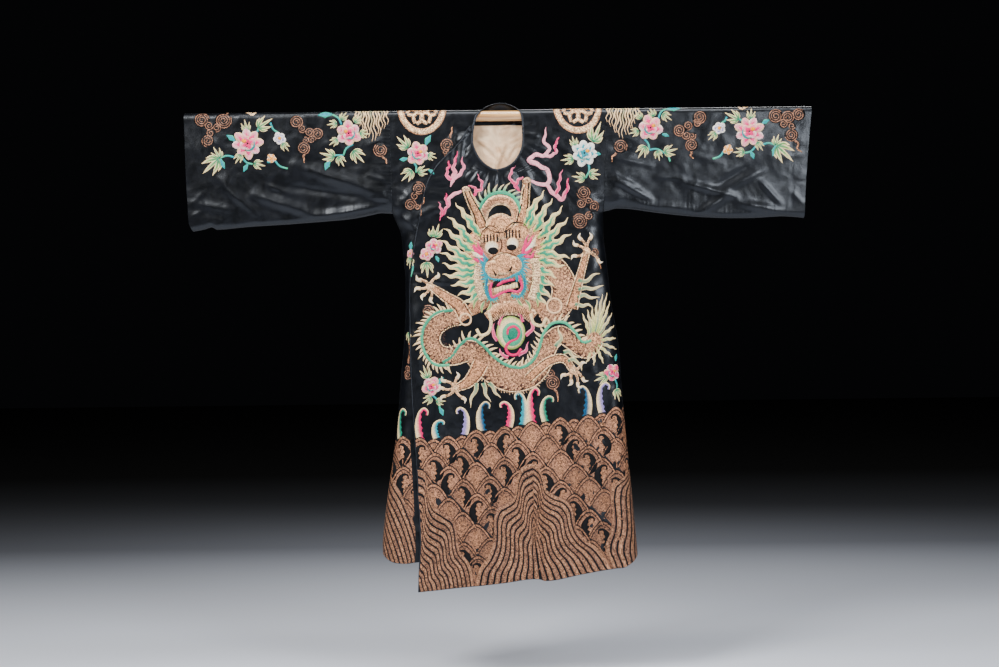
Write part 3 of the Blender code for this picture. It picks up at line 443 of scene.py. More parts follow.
def front_left_lift(a, run):
    drop = drop_at(run)
    seam = read(FRONT_SEAM, drop, "x")
    near = ease(1.0 - (a - seam - SEAM_LIFT_IN) / OVERLAP_FADE)
    return OVERLAP_LIFT * ease((drop - SEAM_LIFT_TOP) / SEAM_LIFT_REACH) * near


def satin_material(name, dark, painted_lit_tone, shine, twill, gloss):
    """Satin: a tight twill with soft patches of painted light and shade in its colour, roughness that changes
    with them, and bumps where it was creased.
    """
    material, tree, shader = new_material(name, Specular_IOR_Level=0.47, Specular_Tint=(*gloss, 1.0),
                                          Sheen_Weight=0.02, Sheen_Roughness=0.35)
    place = add_node(tree, "TexCoord")
    patches = add_node(tree, "TexNoise", Scale=26.0, Detail=5.0, Distortion=1.2)
    # Painted light and shade: the colour goes from a dark to a lit tone in soft noise patches.
    painted_light_and_shade = colour_ramp(tree, dark, painted_lit_tone, low_at=0.35, high_at=0.70)
    rough = add_node(tree, "MapRange", To_Min=shine, To_Max=shine + 0.16)
    weave = add_node(tree, "TexWave", Scale=twill, Distortion=0.8)
    weave.bands_direction = "DIAGONAL"
    weave_bump = add_node(tree, "Bump", Strength=0.10, Distance=0.0002)
    crumple = add_node(tree, "TexNoise", Scale=95.0, Detail=3.0, Distortion=2.2)
    crumple_bump = add_node(tree, "Bump", Strength=0.26, Distance=0.0007)
    dents = add_node(tree, "TexNoise", Scale=8.0, Detail=2.5, Distortion=0.6)
    dents_bump = add_node(tree, "Bump", Strength=0.60, Distance=0.0105)
    for texture in (patches, weave, crumple, dents):
        wire(tree, (place, "Object", texture, "Vector"))
    for texture, bump in ((weave, weave_bump), (crumple, crumple_bump), (dents, dents_bump)):
        wire(tree, (texture, "Fac", bump, "Height"))
    wire(tree, (patches, "Fac", painted_light_and_shade, "Fac"), (painted_light_and_shade, "Color", shader, "Base Color"),
         (patches, "Fac", rough, "Value"), (rough, "Result", shader, "Roughness"),
         (dents_bump, "Normal", crumple_bump, "Normal"), (crumple_bump, "Normal", weave_bump, "Normal"),
         (weave_bump, "Normal", shader, "Normal"))
    return material


# Black satin of the robe, with painted light and shade in patches across its colour.
black_satin = satin_material("black_satin", (0.0010, 0.0012, 0.0018, 1.0), (0.0030, 0.0036, 0.0060, 1.0),
                             0.25, 420.0, (0.86, 0.92, 1.0))
# Beige lining, with painted light and shade in patches across its colour, standing in for the shading of its
# creases.
beige_lining = satin_material("beige_lining", (0.66, 0.42, 0.24, 1.0), (1.0, 0.74, 0.48, 1.0),
                              0.55, 300.0, (1.0, 1.0, 1.0))
black_edge = new_material("black_edge", Base_Color=(0.0012, 0.0014, 0.0020, 1.0), Roughness=0.9,
                          Specular_IOR_Level=0.1)[0]
PANEL_LAYERS = (black_satin, beige_lining, black_edge)
RIM_TUCK = 0.88
RIM_REACH = 8.0
RIM_LAYER = 4


def tucked(share, count):
    """Grid lines with the outer ones close to the edge, so that a rim doesn't bend the shading."""
    line = share * count
    near = np.minimum(line, count - line)
    shift = RIM_TUCK * np.clip(1.0 - (near - 1.0) / RIM_REACH, 0.0, 1.0) * (near > 0.5)
    return np.where(line < count / 2, line - shift, line + shift) / count


def make_piece(name, bm, materials, node=None):
    """Turns a mesh in work into a piece of the robe, in place of a solid if it has one."""
    mesh = bpy.data.meshes.new(name)
    bm.to_mesh(mesh)
    bm.free()
    mesh.shade_smooth()
    for material in materials:
        mesh.materials.append(material)
    piece = put_in_scene(name, mesh)
    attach(piece, "root")
    if node:
        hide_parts(node)
    return piece


def cloth_piece(node, columns, rows, point_at, thickness, layers, tube=False):
    """A shell of cloth on a grid, with its wall turned inwards and the lining inside."""
    bm = bmesh.new()
    bmesh.ops.create_grid(bm, x_segments=columns, y_segments=rows, size=0.5)
    u = tucked(np.array([vert.co.x for vert in bm.verts]) + 0.5, columns)
    v = tucked(0.5 - np.array([vert.co.y for vert in bm.verts]), rows)
    for vert, place in zip(bm.verts, point_at(u, v)):
        vert.co = place
    if tube:
        bmesh.ops.remove_doubles(bm, verts=bm.verts, dist=0.00001)
    bmesh.ops.recalc_face_normals(bm, faces=bm.faces)
    if sum(face.normal.y * face.calc_center_median().y for face in bm.faces) < 0.0:
        bmesh.ops.reverse_faces(bm, faces=bm.faces)
    piece = make_piece("cloth_" + node, bm, layers, node)
    wall = piece.modifiers.new("wall", "SOLIDIFY")
    wall.thickness = thickness
    wall.offset = -1.0
    wall.material_offset = 1
    wall.material_offset_rim = RIM_LAYER
    piece.modifiers.new("flat_rims", "WEIGHTED_NORMAL")
    return piece


def panel(side, right_x, left_x, hem, top_run, lift_at):
    """Gives the points of a panel between two edges, from its top row down to its hem."""
    base = front_base if side < 0 else back_base

    def between(run, u):
        drop = drop_at(run)
        right = across_cloth(right_x(run), drop)
        left = across_cloth(left_x(run), drop)
        return right + (left - right) * u

    def points(u, v):
        run = top_run + (NOMINAL_RUN - top_run) * v
        x = base(between(run, u), run)[:, 0]
        share = (run - SKIRT_START) / (NOMINAL_RUN - SKIRT_START)
        foot = read(hem, x, "drop") + ARC
        run = np.where(run > SKIRT_START, SKIRT_START + share * (foot - SKIRT_START), run)
        a = between(run, u)
        return lifted(base, a, run, side, lift_at(a, run))

    return points


def seam_half(column):
    """The side seam's edge on a panel, half a gap in from the seam."""
    def edge_x(run):
        edge = side_x(drop_at(run), column)
        return edge - np.sign(edge) * SEAM_GAP / 2

    return edge_x


def neck_or_seam(column, gap_side):
    """The neck's edge down to its foot, then the front seam below it."""
    def edge_x(run):
        seam = read(FRONT_SEAM, drop_at(run), "x") + gap_side * SEAM_GAP / 2
        return np.where(run < NECK_FOOT, read(NECK, run, column), seam)

    return edge_x


front_left = cloth_piece("front_left", 68, 270,
                         panel(-1, neck_or_seam("left", 1), seam_half("left"), FRONT_HEM, TOP_RUN,
                               front_left_lift),
                         CLOTH, PANEL_LAYERS)


# Front overlap: the panel that closes over to the wearer's right below the
# slanting edge; its free edge hangs to the hem.
def overlap_edge(run):
    return read(OVERLAP_EDGE, drop_at(run), "x")


front_overlap = cloth_piece("front_overlap", 68, 266,
                            panel(-1, overlap_edge, neck_or_seam("right", -1), FRONT_HEM, OVERLAP_TOP + ARC,
                                  overlap_lift), CLOTH, PANEL_LAYERS)


# Front underlap: the wearer's right shoulder, the strip that shows at the side
# and the part that hangs below the overlap.
UNDERLAP_SINK = 0.0050
UNDERLAP_SINK_WIDTH = 0.030
UNDERLAP_EDGE = in_mm(Edge, [(93, -71), (125, -60), (200, -46), (500, -35), (1300, -20)])
UNDERLAP_HEM = in_mm(Hem, [
    (-340, 1256), (-326, 1267), (-307, 1275), (-272, 1278), (-240, 1274), (-20, 1270),
])


def underlap_lift(a, run):
    drop = drop_at(run)
    edge = read(OVERLAP_EDGE, drop, "x")
    return np.where(drop < OVERLAP_TOP, 0.0, -UNDERLAP_SINK * ease((a - edge) / UNDERLAP_SINK_WIDTH))


def underlap_inner_edge(run):
    drop = drop_at(run)
    return np.where(drop < UNDERLAP_EDGE[0].drop, read(NECK, run, "right"), read(UNDERLAP_EDGE, drop, "x"))


front_underlap = cloth_piece("front_underlap", 54, 220,
                             panel(-1, seam_half("right"), underlap_inner_edge, UNDERLAP_HEM, TOP_RUN,
                                   underlap_lift),
                             CLOTH, PANEL_LAYERS)


# Backs: two halves with a seam down the middle, hanging in soft upright folds;
# a satin facing lines the neck inside, and its black goes on a little below the
# rod, where it is partly the facing and partly painted shadow of the rod.
BACK_SEAM = in_mm(Edge, [(-36, 8.5), (300, 6), (1300, 22)])
BACK_HEM = UNDERLAP_HEM[:5] + in_mm(Hem, [(-180, 1280), (0, 1300), (150, 1312)]) + FRONT_HEM[6:]
BACK_FOLDS = in_mm(Fold, [
    (30, 900, 40, 1300, 30, 6.5), (-80, 950, -90, 1300, 22, -5), (-170, 860, -190, 1300, 28, 6.5),
    (130, 880, 145, 1300, 22, -5.5), (220, 800, 250, 1300, 30, 7), (-250, 900, -275, 1300, 18, -4.5),
    (290, 265, 180, 200, 14, 5), (-290, 265, -180, 190, 14, 5), (280, 330, 120, 330, 16, 4),
    (-275, 330, -110, 340, 16, 4), (50, 60, 140, 180, 12, 3.5), (-50, 60, -150, 170, 12, 3.5),
    (296, 225, 220, 240, 7, 2.2), (-296, 222, -226, 236, 7, 2.2), (280, 290, 205, 262, 7, -2),
    (-276, 288, -200, 268, 7, -2), (80, 50, 150, 90, 8, -1.8), (-70, 50, -140, 84, 8, -1.8),
    (40, 220, -20, 420, 16, 2), (-120, 420, -100, 700, 18, 2.2), (150, 480, 170, 760, 18, -2.2),
    (250, 420, 296, 640, 14, 2.4), (-220, 460, -240, 700, 12, -2), (0, 620, 14, 860, 16, -1.8),
])
FACING_MIDDLE = 0.008
FACING_HALF = 0.075
# The facing's black reaches down to here, a little below the rod, where it is painted shadow of the rod.
FACING_AND_ROD_SHADOW_FOOT = -0.026
FACING_LAYER = 2


def back_base(a, run):
    return body_point(a, run, 1, BACK_FOLDS)


def no_lift(a, run):
    return np.zeros_like(a)


def back_seam_x(gap_side):
    """The middle seam's edge on one of the two halves."""
    def edge_x(run):
        return read(BACK_SEAM, drop_at(run), "x") + gap_side * SEAM_GAP / 2

    return edge_x


def face_neck_and_rod_shadow(piece, half):
    """Turns the inside of the neck into the satin facing, down to a little below the rod, where the black is
    partly the facing and partly painted shadow of the rod.
    """
    for face in piece.data.polygons:
        if abs(face.center.x - FACING_MIDDLE) < half and face.center.z > FACING_AND_ROD_SHADOW_FOOT:
            face.material_index = FACING_LAYER


BACK_LAYERS = (black_satin, beige_lining, black_satin, black_satin, black_edge)
back_left = cloth_piece("back_left", 56, 200,
                        panel(1, back_seam_x(1), seam_half("left"), BACK_HEM, TOP_RUN, no_lift),
                        CLOTH, BACK_LAYERS)
back_right = cloth_piece("back_right", 56, 200,
                         panel(1, seam_half("right"), back_seam_x(-1), BACK_HEM, TOP_RUN, no_lift),
                         CLOTH, BACK_LAYERS)
face_neck_and_rod_shadow(back_left, FACING_HALF)
face_neck_and_rod_shadow(back_right, FACING_HALF)


# Lining of the back: plain beige cloth that shows through the neck, creased
# crosswise where it was folded. Its top, just under the rod, is black satin,
# partly the neck facing and partly painted shadow of the rod.
LINING = 0.0010
LINING_TOP = 0.012
LINING_FOOT = 1.220
LINING_EDGE = 0.030
LINING_SETBACK = 0.0006
LINING_HANG = 0.0070
LINING_HANG_DROP = 0.12
LINING_CREASE_DROP = 0.02
LINING_CLOSE_ROWS = 0.28
LINING_HALF = 1.0
LINING_CREASES = in_mm(Fold, [
    (-58, 22, -16, 62, 5.5, 6), (-16, 62, 26, 138, 5, 6.5), (58, 18, 10, 32, 5.5, -7),
    (68, 40, 22, 72, 5, 6), (22, 72, -6, 150, 5.5, -7.5), (-62, 60, -14, 100, 5, -6),
    (-40, 86, -6, 126, 4.5, 5), (54, 86, 30, 130, 4.5, 5), (-10, 20, 8, 60, 4.5, 4.5),
])


def smooth_back(a, run):
    return body_point(a, run, 1, [], 0.0)


def lining_points(u, v):
    """Points of the lining, in rows that lie closer together at the neck."""
    share = LINING_CLOSE_ROWS * v + (1.0 - LINING_CLOSE_ROWS) * v ** 3
    drop = LINING_TOP + (LINING_FOOT - LINING_TOP) * share
    right = side_x(drop, "right") + LINING_EDGE
    left = side_x(drop, "left") - LINING_EDGE
    x = right + (left - right) * u
    under = CLOTH + LINING_SETBACK + LINING_HANG * ease((drop - LINING_TOP) / LINING_HANG_DROP)
    under = under - ridges(LINING_CREASES, x, drop) * ease((drop - LINING_TOP) / LINING_CREASE_DROP)
    under = np.maximum(under, CLOTH + LINING_SETBACK)
    return lifted(smooth_back, across_cloth(x, drop), drop + ARC, 1, -under)


back_lining = cloth_piece("back_lining", 150, 200, lining_points, LINING,
                          (beige_lining, beige_lining, black_satin, black_satin, beige_lining))
face_neck_and_rod_shadow(back_lining, LINING_HALF)


# Sleeves: wide straight tubes turned over the rod, sewn to the body at the
# armhole and along the under edge, with a plain turned cuff.
Under = namedtuple("Under", "reach drop")
RIGHT_SLEEVE_UNDER = in_mm(Under, [
    (303, 278), (337, 276), (363, 281), (417, 291), (470, 296), (603, 305), (717, 311), (810, 318),
    (823, 311), (845, 317), (899, 326),
])
LEFT_SLEEVE_UNDER = in_mm(Under, [
    (302, 278), (316, 276), (338, 270), (378, 272), (465, 285), (589, 298), (718, 302), (814, 298),
    (846, 300), (903, 306),
])
Mouth = namedtuple("Mouth", "drop right left")
MOUTHS = in_mm(Mouth, [
    (-20, 899, 903), (88, 896, 892.5), (190, 893.5, 884), (257, 890, 880), (300, 887, 878), (330, 874, 874),
])
SLEEVE_DEPTHS = [Depth(0.0, TURN, TURN)] + in_mm(Depth, [(100, 17.5, 17), (200, 16.5, 16), (320, 15, 15)])
SLEEVE_START = 0.30
SLEEVE_FOOT_CLOSE = 0.014
SLEEVE_EASE_REACH = 0.160
SLEEVE_FOLD_REACH = 0.03
FOOT_ARC_SHARE = 1.25
CUFF_STITCH_REACH = 0.842
CUFF_STITCH_DEPTH = 0.0009
CUFF_STITCH_WIDTH = 0.0018
ROUGH_START = 0.303
ROUGH_END = 0.885
BACK_CRINKLE_SHARE = 0.8

# Creases of a sleeve by reach from the middle of the robe and drop
Sleeve = namedtuple("Sleeve", "hand column under front_folds back_folds both_folds")
RIGHT_SLEEVE = Sleeve(-1, "right", RIGHT_SLEEVE_UNDER, front_folds=in_mm(Fold, [
    (312, 228, 575, 138, 18, 9), (520, 280, 698, 222, 14, 7), (312, 262, 540, 284, 12, 6.8),
    (694, 274, 786, 196, 12, 6.5), (772, 198, 806, 160, 13, 4), (420, 226, 600, 196, 11, -3.5),
    (594, 218, 668, 190, 7, 3), (760, 264, 860, 244, 10, 2.6), (390, 112, 500, 70, 12, 2.2),
]), back_folds=in_mm(Fold, [
    (330, 210, 600, 150, 16, 6), (340, 262, 620, 250, 14, 5), (700, 180, 820, 230, 16, 4),
    (450, 170, 560, 210, 9, -2.4), (600, 140, 720, 190, 10, 2.4), (640, 230, 760, 246, 9, -2.2),
]), both_folds=in_mm(Fold, [
    (312, 186, 372, 168, 5, 2.2), (310, 208, 350, 196, 4, -1.8), (310, 236, 366, 234, 4, 2.4),
    (310, 246, 350, 246, 3, -1.8), (314, 60, 372, 84, 7, 2), (842, 210, 884, 250, 6, 1.6),
    (846, 262, 884, 286, 5, 1.8),
]))
LEFT_SLEEVE = Sleeve(1, "left", LEFT_SLEEVE_UNDER, front_folds=in_mm(Fold, [
    (319, 180, 441, 247, 9, 5.5), (322, 170, 400, 210, 5, 3), (312, 262, 350, 246, 6, 3),
    (450, 182, 540, 186, 7, 2.6), (530, 197, 680, 240, 10, 5), (570, 290, 660, 236, 12, 6),
    (690, 258, 810, 284, 12, 6), (748, 194, 812, 264, 7, 4.5), (622, 210, 730, 150, 10, -4.5),
    (650, 222, 760, 166, 11, 4), (420, 262, 560, 272, 10, 3.2), (560, 120, 640, 140, 10, 2.2),
    (790, 130, 870, 120, 12, 2.5),
]), back_folds=in_mm(Fold, [
    (320, 160, 560, 215, 16, 6), (420, 230, 640, 260, 14, 5), (700, 170, 820, 240, 16, 4.5),
    (450, 160, 580, 190, 9, -2.4), (600, 130, 700, 170, 10, 2.4), (660, 220, 770, 250, 9, -2.2),
    (790, 110, 860, 150, 10, 2),
]), both_folds=in_mm(Fold, [
    (322, 56, 384, 72, 7, 2.2), (320, 92, 402, 116, 7, -2.2), (320, 122, 440, 150, 7, 2.6),
    (842, 230, 876, 262, 6, 1.8),
]))


def sleeve_close(reach):
    near = ease((reach - SLEEVE_START) / SLEEVE_EASE_REACH)
    return ARMPIT_CLOSE + (SLEEVE_FOOT_CLOSE - ARMPIT_CLOSE) * near


def sleeve_length(sleeve, reach):
    """Distance down half of a sleeve's ring, from the rod's top to the under edge."""
    close = sleeve_close(reach)
    return ARC + read(sleeve.under, reach, "drop") + close * (FOOT_ARC_SHARE - 1.0)


def sleeve_section(sleeve, reach, down):
    """Share of the depth and drop at a distance down the cloth from the rod's top."""
    foot = read(sleeve.under, reach, "drop")
    close = sleeve_close(reach)
    straight = foot - close
    past_rod = down - ARC
    top_angle = np.clip(down, 0.0, ARC) / TURN
    foot_angle = np.clip((past_rod - straight) / (close * FOOT_ARC_SHARE), 0.0, 1.0) * math.pi / 2
    share = np.where(past_rod < 0.0, np.sin(top_angle), np.cos(foot_angle))
    low = np.where(past_rod < straight, past_rod, straight + close * np.sin(foot_angle))
    return share, np.where(past_rod < 0.0, -TURN * np.cos(top_angle), low)


def sleeve_point(sleeve, reach, around):
    """Points of a sleeve: around runs down the front from the rod's top, and is
    negative down the back."""
    front = around >= 0.0
    share, drop = sleeve_section(sleeve, reach, np.abs(around))
    start = np.abs(side_x(drop, sleeve.column)) + SEAM_GAP / 2
    near = ease((reach - start) / SLEEVE_EASE_REACH)
    body = np.where(front, read(DEPTHS, drop, "front"), read(DEPTHS, drop, "back"))
    own = np.where(front, read(SLEEVE_DEPTHS, drop, "front"), read(SLEEVE_DEPTHS, drop, "back"))
    depth = body + (own - body) * near
    swell = ridges(sleeve.both_folds, reach, drop) + np.where(
        front, ridges(sleeve.front_folds, reach, drop), ridges(sleeve.back_folds, reach, drop))
    swell = swell + crinkle(sleeve.hand * reach * np.where(front, 1.0, BACK_CRINKLE_SHARE), drop)
    fade = ease(drop / FOLD_START_DROP) * ease((reach - start) / SLEEVE_FOLD_REACH) * share
    puckers = seam_puckers(reach - start, drop) * share * ease(drop / 0.02)
    foot = read(sleeve.under, reach, "drop")
    puckers = puckers + seam_puckers(foot - drop, reach) * share
    cuff = -CUFF_STITCH_DEPTH * np.exp(-((reach - CUFF_STITCH_REACH) / CUFF_STITCH_WIDTH) ** 2) * share
    y = depth * share + swell * fade + puckers + cuff
    return np.stack([sleeve.hand * reach, np.where(front, -1.0, 1.0) * y, -drop], axis=-1)


def sleeve_ring_points(sleeve, u, v):
    """Ring by ring: v goes out along the sleeve, u once round from the rod's top."""
    turned = np.where(u <= 0.5, 2.0 * u, 2.0 * (1.0 - u))
    side = np.where(u <= 0.5, 1.0, -1.0)
    rough = ROUGH_START + (ROUGH_END - ROUGH_START) * v
    drop = sleeve_section(sleeve, rough, turned * sleeve_length(sleeve, rough))[1]
    start = np.abs(side_x(drop, sleeve.column)) + SEAM_GAP / 2
    reach = start + (read(MOUTHS, drop, sleeve.column) - start) * v
    return sleeve_point(sleeve, reach, side * turned * sleeve_length(sleeve, reach))


sleeve_right = cloth_piece("sleeve_right", 132, 118,
                           lambda u, v: sleeve_ring_points(RIGHT_SLEEVE, u, v),
                           CLOTH, PANEL_LAYERS, tube=True)
sleeve_left = cloth_piece("sleeve_left", 132, 118,
                          lambda u, v: sleeve_ring_points(LEFT_SLEEVE, u, v), CLOTH, PANEL_LAYERS, tube=True)


# Wave border: rows of arched waves in couched gold thread above the hem, each
# with a raised rim between two black lines; many hold a black hooked curl.
PALETTE = {
    "gold": (151, 105, 81), "gold_light": (228, 166, 118), "gold_bright": (204, 142, 100),
    "gold_pale": (250, 204, 156), "gold_dark": (76, 42, 28), "black": (11, 11, 14), "cream": (255, 224, 166),
    "white": (255, 246, 232), "mint": (72, 184, 138), "teal": (0, 126, 98), "turquoise": (0, 148, 164),
    "deep": (0, 78, 116), "pink": (232, 0, 100), "rose": (244, 64, 132), "blush": (252, 168, 182),
    "lilac": (146, 130, 190), "leaf": (142, 178, 74), "yellow": (255, 160, 16),
}
SKIRT = -0.03
THREAD_HEIGHT = 0.6
CM = 0.01
ARCH_HALF = 4.1
ARCH_PITCH = 4.45
ARCH_SPAN = 8.0
ARCH_ROWS = 12
ARCH_FIRST = -23.0
ARCH_LAST = 43.0
ARCH_FLANK = 1.75
ARCH_BANDS = (0.0, 0.036, 0.072, 0.116, 0.150, 0.34, 0.66, 1.0)
ARCH_DARK = (0, 3)
ARCH_RIM = 2
FILL_DROP = 0.7
FILL_HIGH = 0.16
CURL_TEETH = (0.55, 5)
CURL_BOW = ((0.0, 0.0), (0.935, 0.32), (1.054, 0.62), (0.51, 0.88), (-0.375, 1.0), (-1.275, 0.93),
            (-1.35, 0.80))
CURL_FORM = (0.9, 1.05, 0.85, 0.5)
CURL_ROOT_WIDTH = 0.3
CURL_TIP_WIDTHS = [0.65, 0.5]
CURL_DROP = 8.5
CURL_RISE = 5.9
CURL_WIDTH = 2.5
BORDER_EDGE = 0.15
HEM_SHOW = 0.15
SIDE_SHOW = 0.10
SIDE_SLACK = 0.0002
NOMINAL_HEM = 1.30

# Top line of the border in centimetres across the cloth and down from the rod
Line = namedtuple("Line", "a down")
BORDER_TOP = [Line(*row) for row in [
    (-26.0, 91.9), (-14.5, 91.0), (-5.9, 89.6), (2.6, 88.3), (8.3, 87.5), (16.9, 86.5), (25.4, 85.5),
    (34.3, 83.3), (43.0, 82.0),
]]


def tint_of(name):
    """A thread's colour, given as it looks on a screen, in the scene's own linear light."""
    shown = np.array(PALETTE[name]) / 255.0
    return np.where(shown <= 0.04045, shown / 12.92, ((shown + 0.055) / 1.055) ** 2.4)


def thread_material(name, metal, rough, gloss, sheen, ridge_pitch, grain, painted_glint_spread, fixed=None):
    """Laid thread: its own tint, fine ridges across its lie and a broken sparkle, which is painted into its
    colour as light glints and dark gaps as well as set in its bump and roughness.
    """
    material, tree, shader = new_material(name, Metallic=metal, Specular_IOR_Level=gloss, Sheen_Weight=sheen,
                                          Sheen_Roughness=0.4)
    tint = add_node(tree, "Attribute")
    tint.attribute_name = "thread_tint"
    lie = add_node(tree, "Attribute")
    lie.attribute_name = "thread_lie"
    place = add_node(tree, "TexCoord")
    stretch = add_node(tree, "Mapping", Scale=(1.0, 4.5, 1.0))
    sparkle = add_node(tree, "TexNoise", Scale=grain, Detail=4.0, Distortion=1.4)
    # Painted glints: noise makes the tint lighter and darker in specks, as painted highlights on the threads
    # and painted shade between them.
    dim, bright = [(share, share, share, 1.0) for share in (1.0 - painted_glint_spread, 1.0 + painted_glint_spread)]
    painted_glint_ramp = colour_ramp(tree, dim, bright, low_at=0.42, high_at=0.60)
    mix = add_node(tree, "Mix")
    mix.data_type = "RGBA"
    mix.blend_type = "MULTIPLY"
    mix.inputs["Factor"].default_value = 1.0
    ridge_wave = add_node(tree, "TexWave", Scale=ridge_pitch, Distortion=1.0)
    ridge_wave.bands_direction = "Y"
    ridge_bump = add_node(tree, "Bump", Strength=0.35, Distance=0.0004)
    grain_bump = add_node(tree, "Bump", Strength=0.55, Distance=0.0009)
    roughness = add_node(tree, "MapRange", To_Min=rough + 0.12, To_Max=rough - 0.06)
    if fixed is None:
        wire(tree, (tint, "Color", mix, "A"))
    else:
        mix.inputs["A"].default_value = (*fixed, 1.0)
    wire(tree, (place, "Object", sparkle, "Vector"), (sparkle, "Fac", painted_glint_ramp, "Fac"),
         (painted_glint_ramp, "Color", mix, "B"), (mix, "Result", shader, "Base Color"),
         (lie, "Vector", stretch, "Vector"), (stretch, "Vector", ridge_wave, "Vector"),
         (ridge_wave, "Fac", ridge_bump, "Height"),
         (sparkle, "Fac", grain_bump, "Height"), (ridge_bump, "Normal", grain_bump, "Normal"),
         (grain_bump, "Normal", shader, "Normal"), (sparkle, "Fac", roughness, "Value"),
         (roughness, "Result", shader, "Roughness"))
    return material


gold_thread = thread_material("gold_thread", 0.30, 0.40, 0.4, 0.0, 260.0, 240.0, 0.78)
black_thread = thread_material("black_thread", 0.0, 0.74, 0.2, 0.0, 260.0, 300.0, 0.20, tint_of("black"))
silk_floss = thread_material("silk_floss", 0.0, 0.46, 0.28, 0.04, 330.0, 260.0, 0.22)


def new_stitching():
    """A drawing of threads, flat on the cloth: centimetres across, down and up."""
    bm = bmesh.new()
    bm.verts.layers.float_color.new("thread_tint")
    bm.verts.layers.float_vector.new("thread_lie")
    return bm


def stitch(bm, long, wide, place_at, dark_rows=()):
    """One patch of thread on a grid; place_at gives place, tint and lie for each s and t."""
    tint_layer = bm.verts.layers.float_color["thread_tint"]
    lie_layer = bm.verts.layers.float_vector["thread_lie"]
    verts = bmesh.ops.create_grid(bm, x_segments=long, y_segments=wide, size=1.0)["verts"]
    if dark_rows:
        for face in {face for vert in verts for face in vert.link_faces}:
            if int((face.calc_center_median().y + 1.0) / 2.0 * wide) in dark_rows:
                face.material_index = 1
    s = np.array([vert.co.x for vert in verts]) * 0.5 + 0.5
    t = np.array([vert.co.y for vert in verts]) * 0.5 + 0.5
    places, tints, lies = place_at(s, t)
    for vert, place, tint, lie in zip(verts, places.tolist(), tints.tolist(), lies.tolist()):
        vert.co = place
        vert[tint_layer] = (*tint, 1.0)
        vert[lie_layer] = (*lie, 0.0)


def sew_on(bm, name, surface, slot, *materials):
    """Lays a flat drawing of threads on the cloth and makes it a piece."""
    mesh = make_piece(name, bm, materials).data
    flat = np.empty(len(mesh.vertices) * 3)
    mesh.vertices.foreach_get("co", flat)
    flat = flat.reshape(-1, 3) * CM
    laid = surface(flat[:, 0], flat[:, 1], flat[:, 2] * THREAD_HEIGHT)
    mesh.vertices.foreach_set("co", laid.ravel())
    mesh.update()
    if sum(face.normal.y * face.center.y for face in mesh.polygons) < 0.0:
        mesh.flip_normals()


def on_front(a, down, height):
    """Places on the front by distance across and down; above the rod it goes on to the back."""
    run = down + ARC
    front_run = np.maximum(run, 0.0)
    drop = drop_at(front_run)
    edge = read(OVERLAP_EDGE, drop, "x")
    seam = read(FRONT_SEAM, drop, "x")
    lift = np.where(a >= seam, front_left_lift(a, front_run), overlap_lift(a, front_run))
    lift = np.where((a < edge) | (drop < OVERLAP_TOP) & (a < 0.0), 0.0, lift)
    ahead = lifted(front_base, a, front_run, -1, lift + height)
    if (run >= 0.0).all():
        return ahead
    behind = lifted(back_base, a, np.maximum(-run, 0.0), 1, height)
    return np.where((run < 0.0)[:, None], behind, ahead)


def trim(bm, low_a, high_a, high_down):
    """Cuts a drawing at the edges of its panel, given as functions in centimetres."""
    verts = list(bm.verts)
    place = np.array([vert.co for vert in verts])
    a = np.clip(place[:, 0], low_a(place[:, 1]), high_a(place[:, 1]))
    down = np.minimum(place[:, 1], high_down(a))
    off = np.hypot(a - place[:, 0], down - place[:, 1]) > 1e-6
    outside = {vert for vert, gone in zip(verts, off) if gone}
    for vert, new_a, new_down in zip(verts, a.tolist(), down.tolist()):
        vert.co.x = new_a
        vert.co.y = new_down
    gone = [face for face in bm.faces if all(vert in outside for vert in face.verts)]
    bmesh.ops.delete(bm, geom=gone, context="FACES")


def front_high_a(down):
    """Side seam on the front, in centimetres across the cloth."""
    side = side_x(down * CM, "left")
    return across_cloth(side - SIDE_SLACK, down * CM) / CM - SIDE_SHOW


def front_hem_down(a):
    x = front_base(a * CM, np.full_like(a, NOMINAL_HEM) + ARC)[:, 0]
    return read(FRONT_HEM, x, "drop") / CM - HEM_SHOW


def overlap_low_a(down):
    return read(OVERLAP_EDGE, down * CM, "x") / CM + BORDER_EDGE


def arch(bm, a, down, tone, share=1.0):
    """One wave: black line, raised gold rim, black line and a fill that fans out; the rim and the middle of
    the fill are painted lighter as a painted highlight.
    """
    rows = len(ARCH_BANDS)
    dull, bright = tint_of("gold") * tone, tint_of("gold_bright") * tone

    def place_at(s, t):
        row = np.clip(np.round(t * rows).astype(int) - 1, 0, rows - 1)
        q = np.array(ARCH_BANDS)[row]
        turn = math.pi * s
        x = -ARCH_HALF * np.cos(turn) * (1.0 - q)
        y = ARCH_PITCH * np.abs(np.cos(turn)) ** ARCH_FLANK * (1.0 - q) + 2.0 * ARCH_PITCH * q
        high = (0.12 * np.exp(-q / 0.15) + 0.03 + 0.05 * (row == ARCH_RIM)) * share
        high = np.where(t < 0.5 / rows, SKIRT, high)
        # Painted highlight: the middle of the fill and the raised rim get the bright gold.
        painted_highlight = (0.5 + 0.5 * np.cos(6.0 * (s - 0.5)))[:, None] * (q > 0.2)[:, None] * 0.5
        painted_highlight = painted_highlight + 0.6 * (row == ARCH_RIM)[:, None]
        tint = dull * (1.0 - painted_highlight) + bright * painted_highlight
        lie = np.stack([q * 2.0 * ARCH_PITCH * CM, s * 2.0 * ARCH_HALF * CM], axis=-1)
        return np.stack([a + x, down + y, high], axis=-1), tint, lie

    stitch(bm, 14, rows, place_at, [row + 1 for row in ARCH_DARK] + [0])


def path_length(path):
    return sum(math.dist(p, q) for p, q in zip(path, path[1:]))


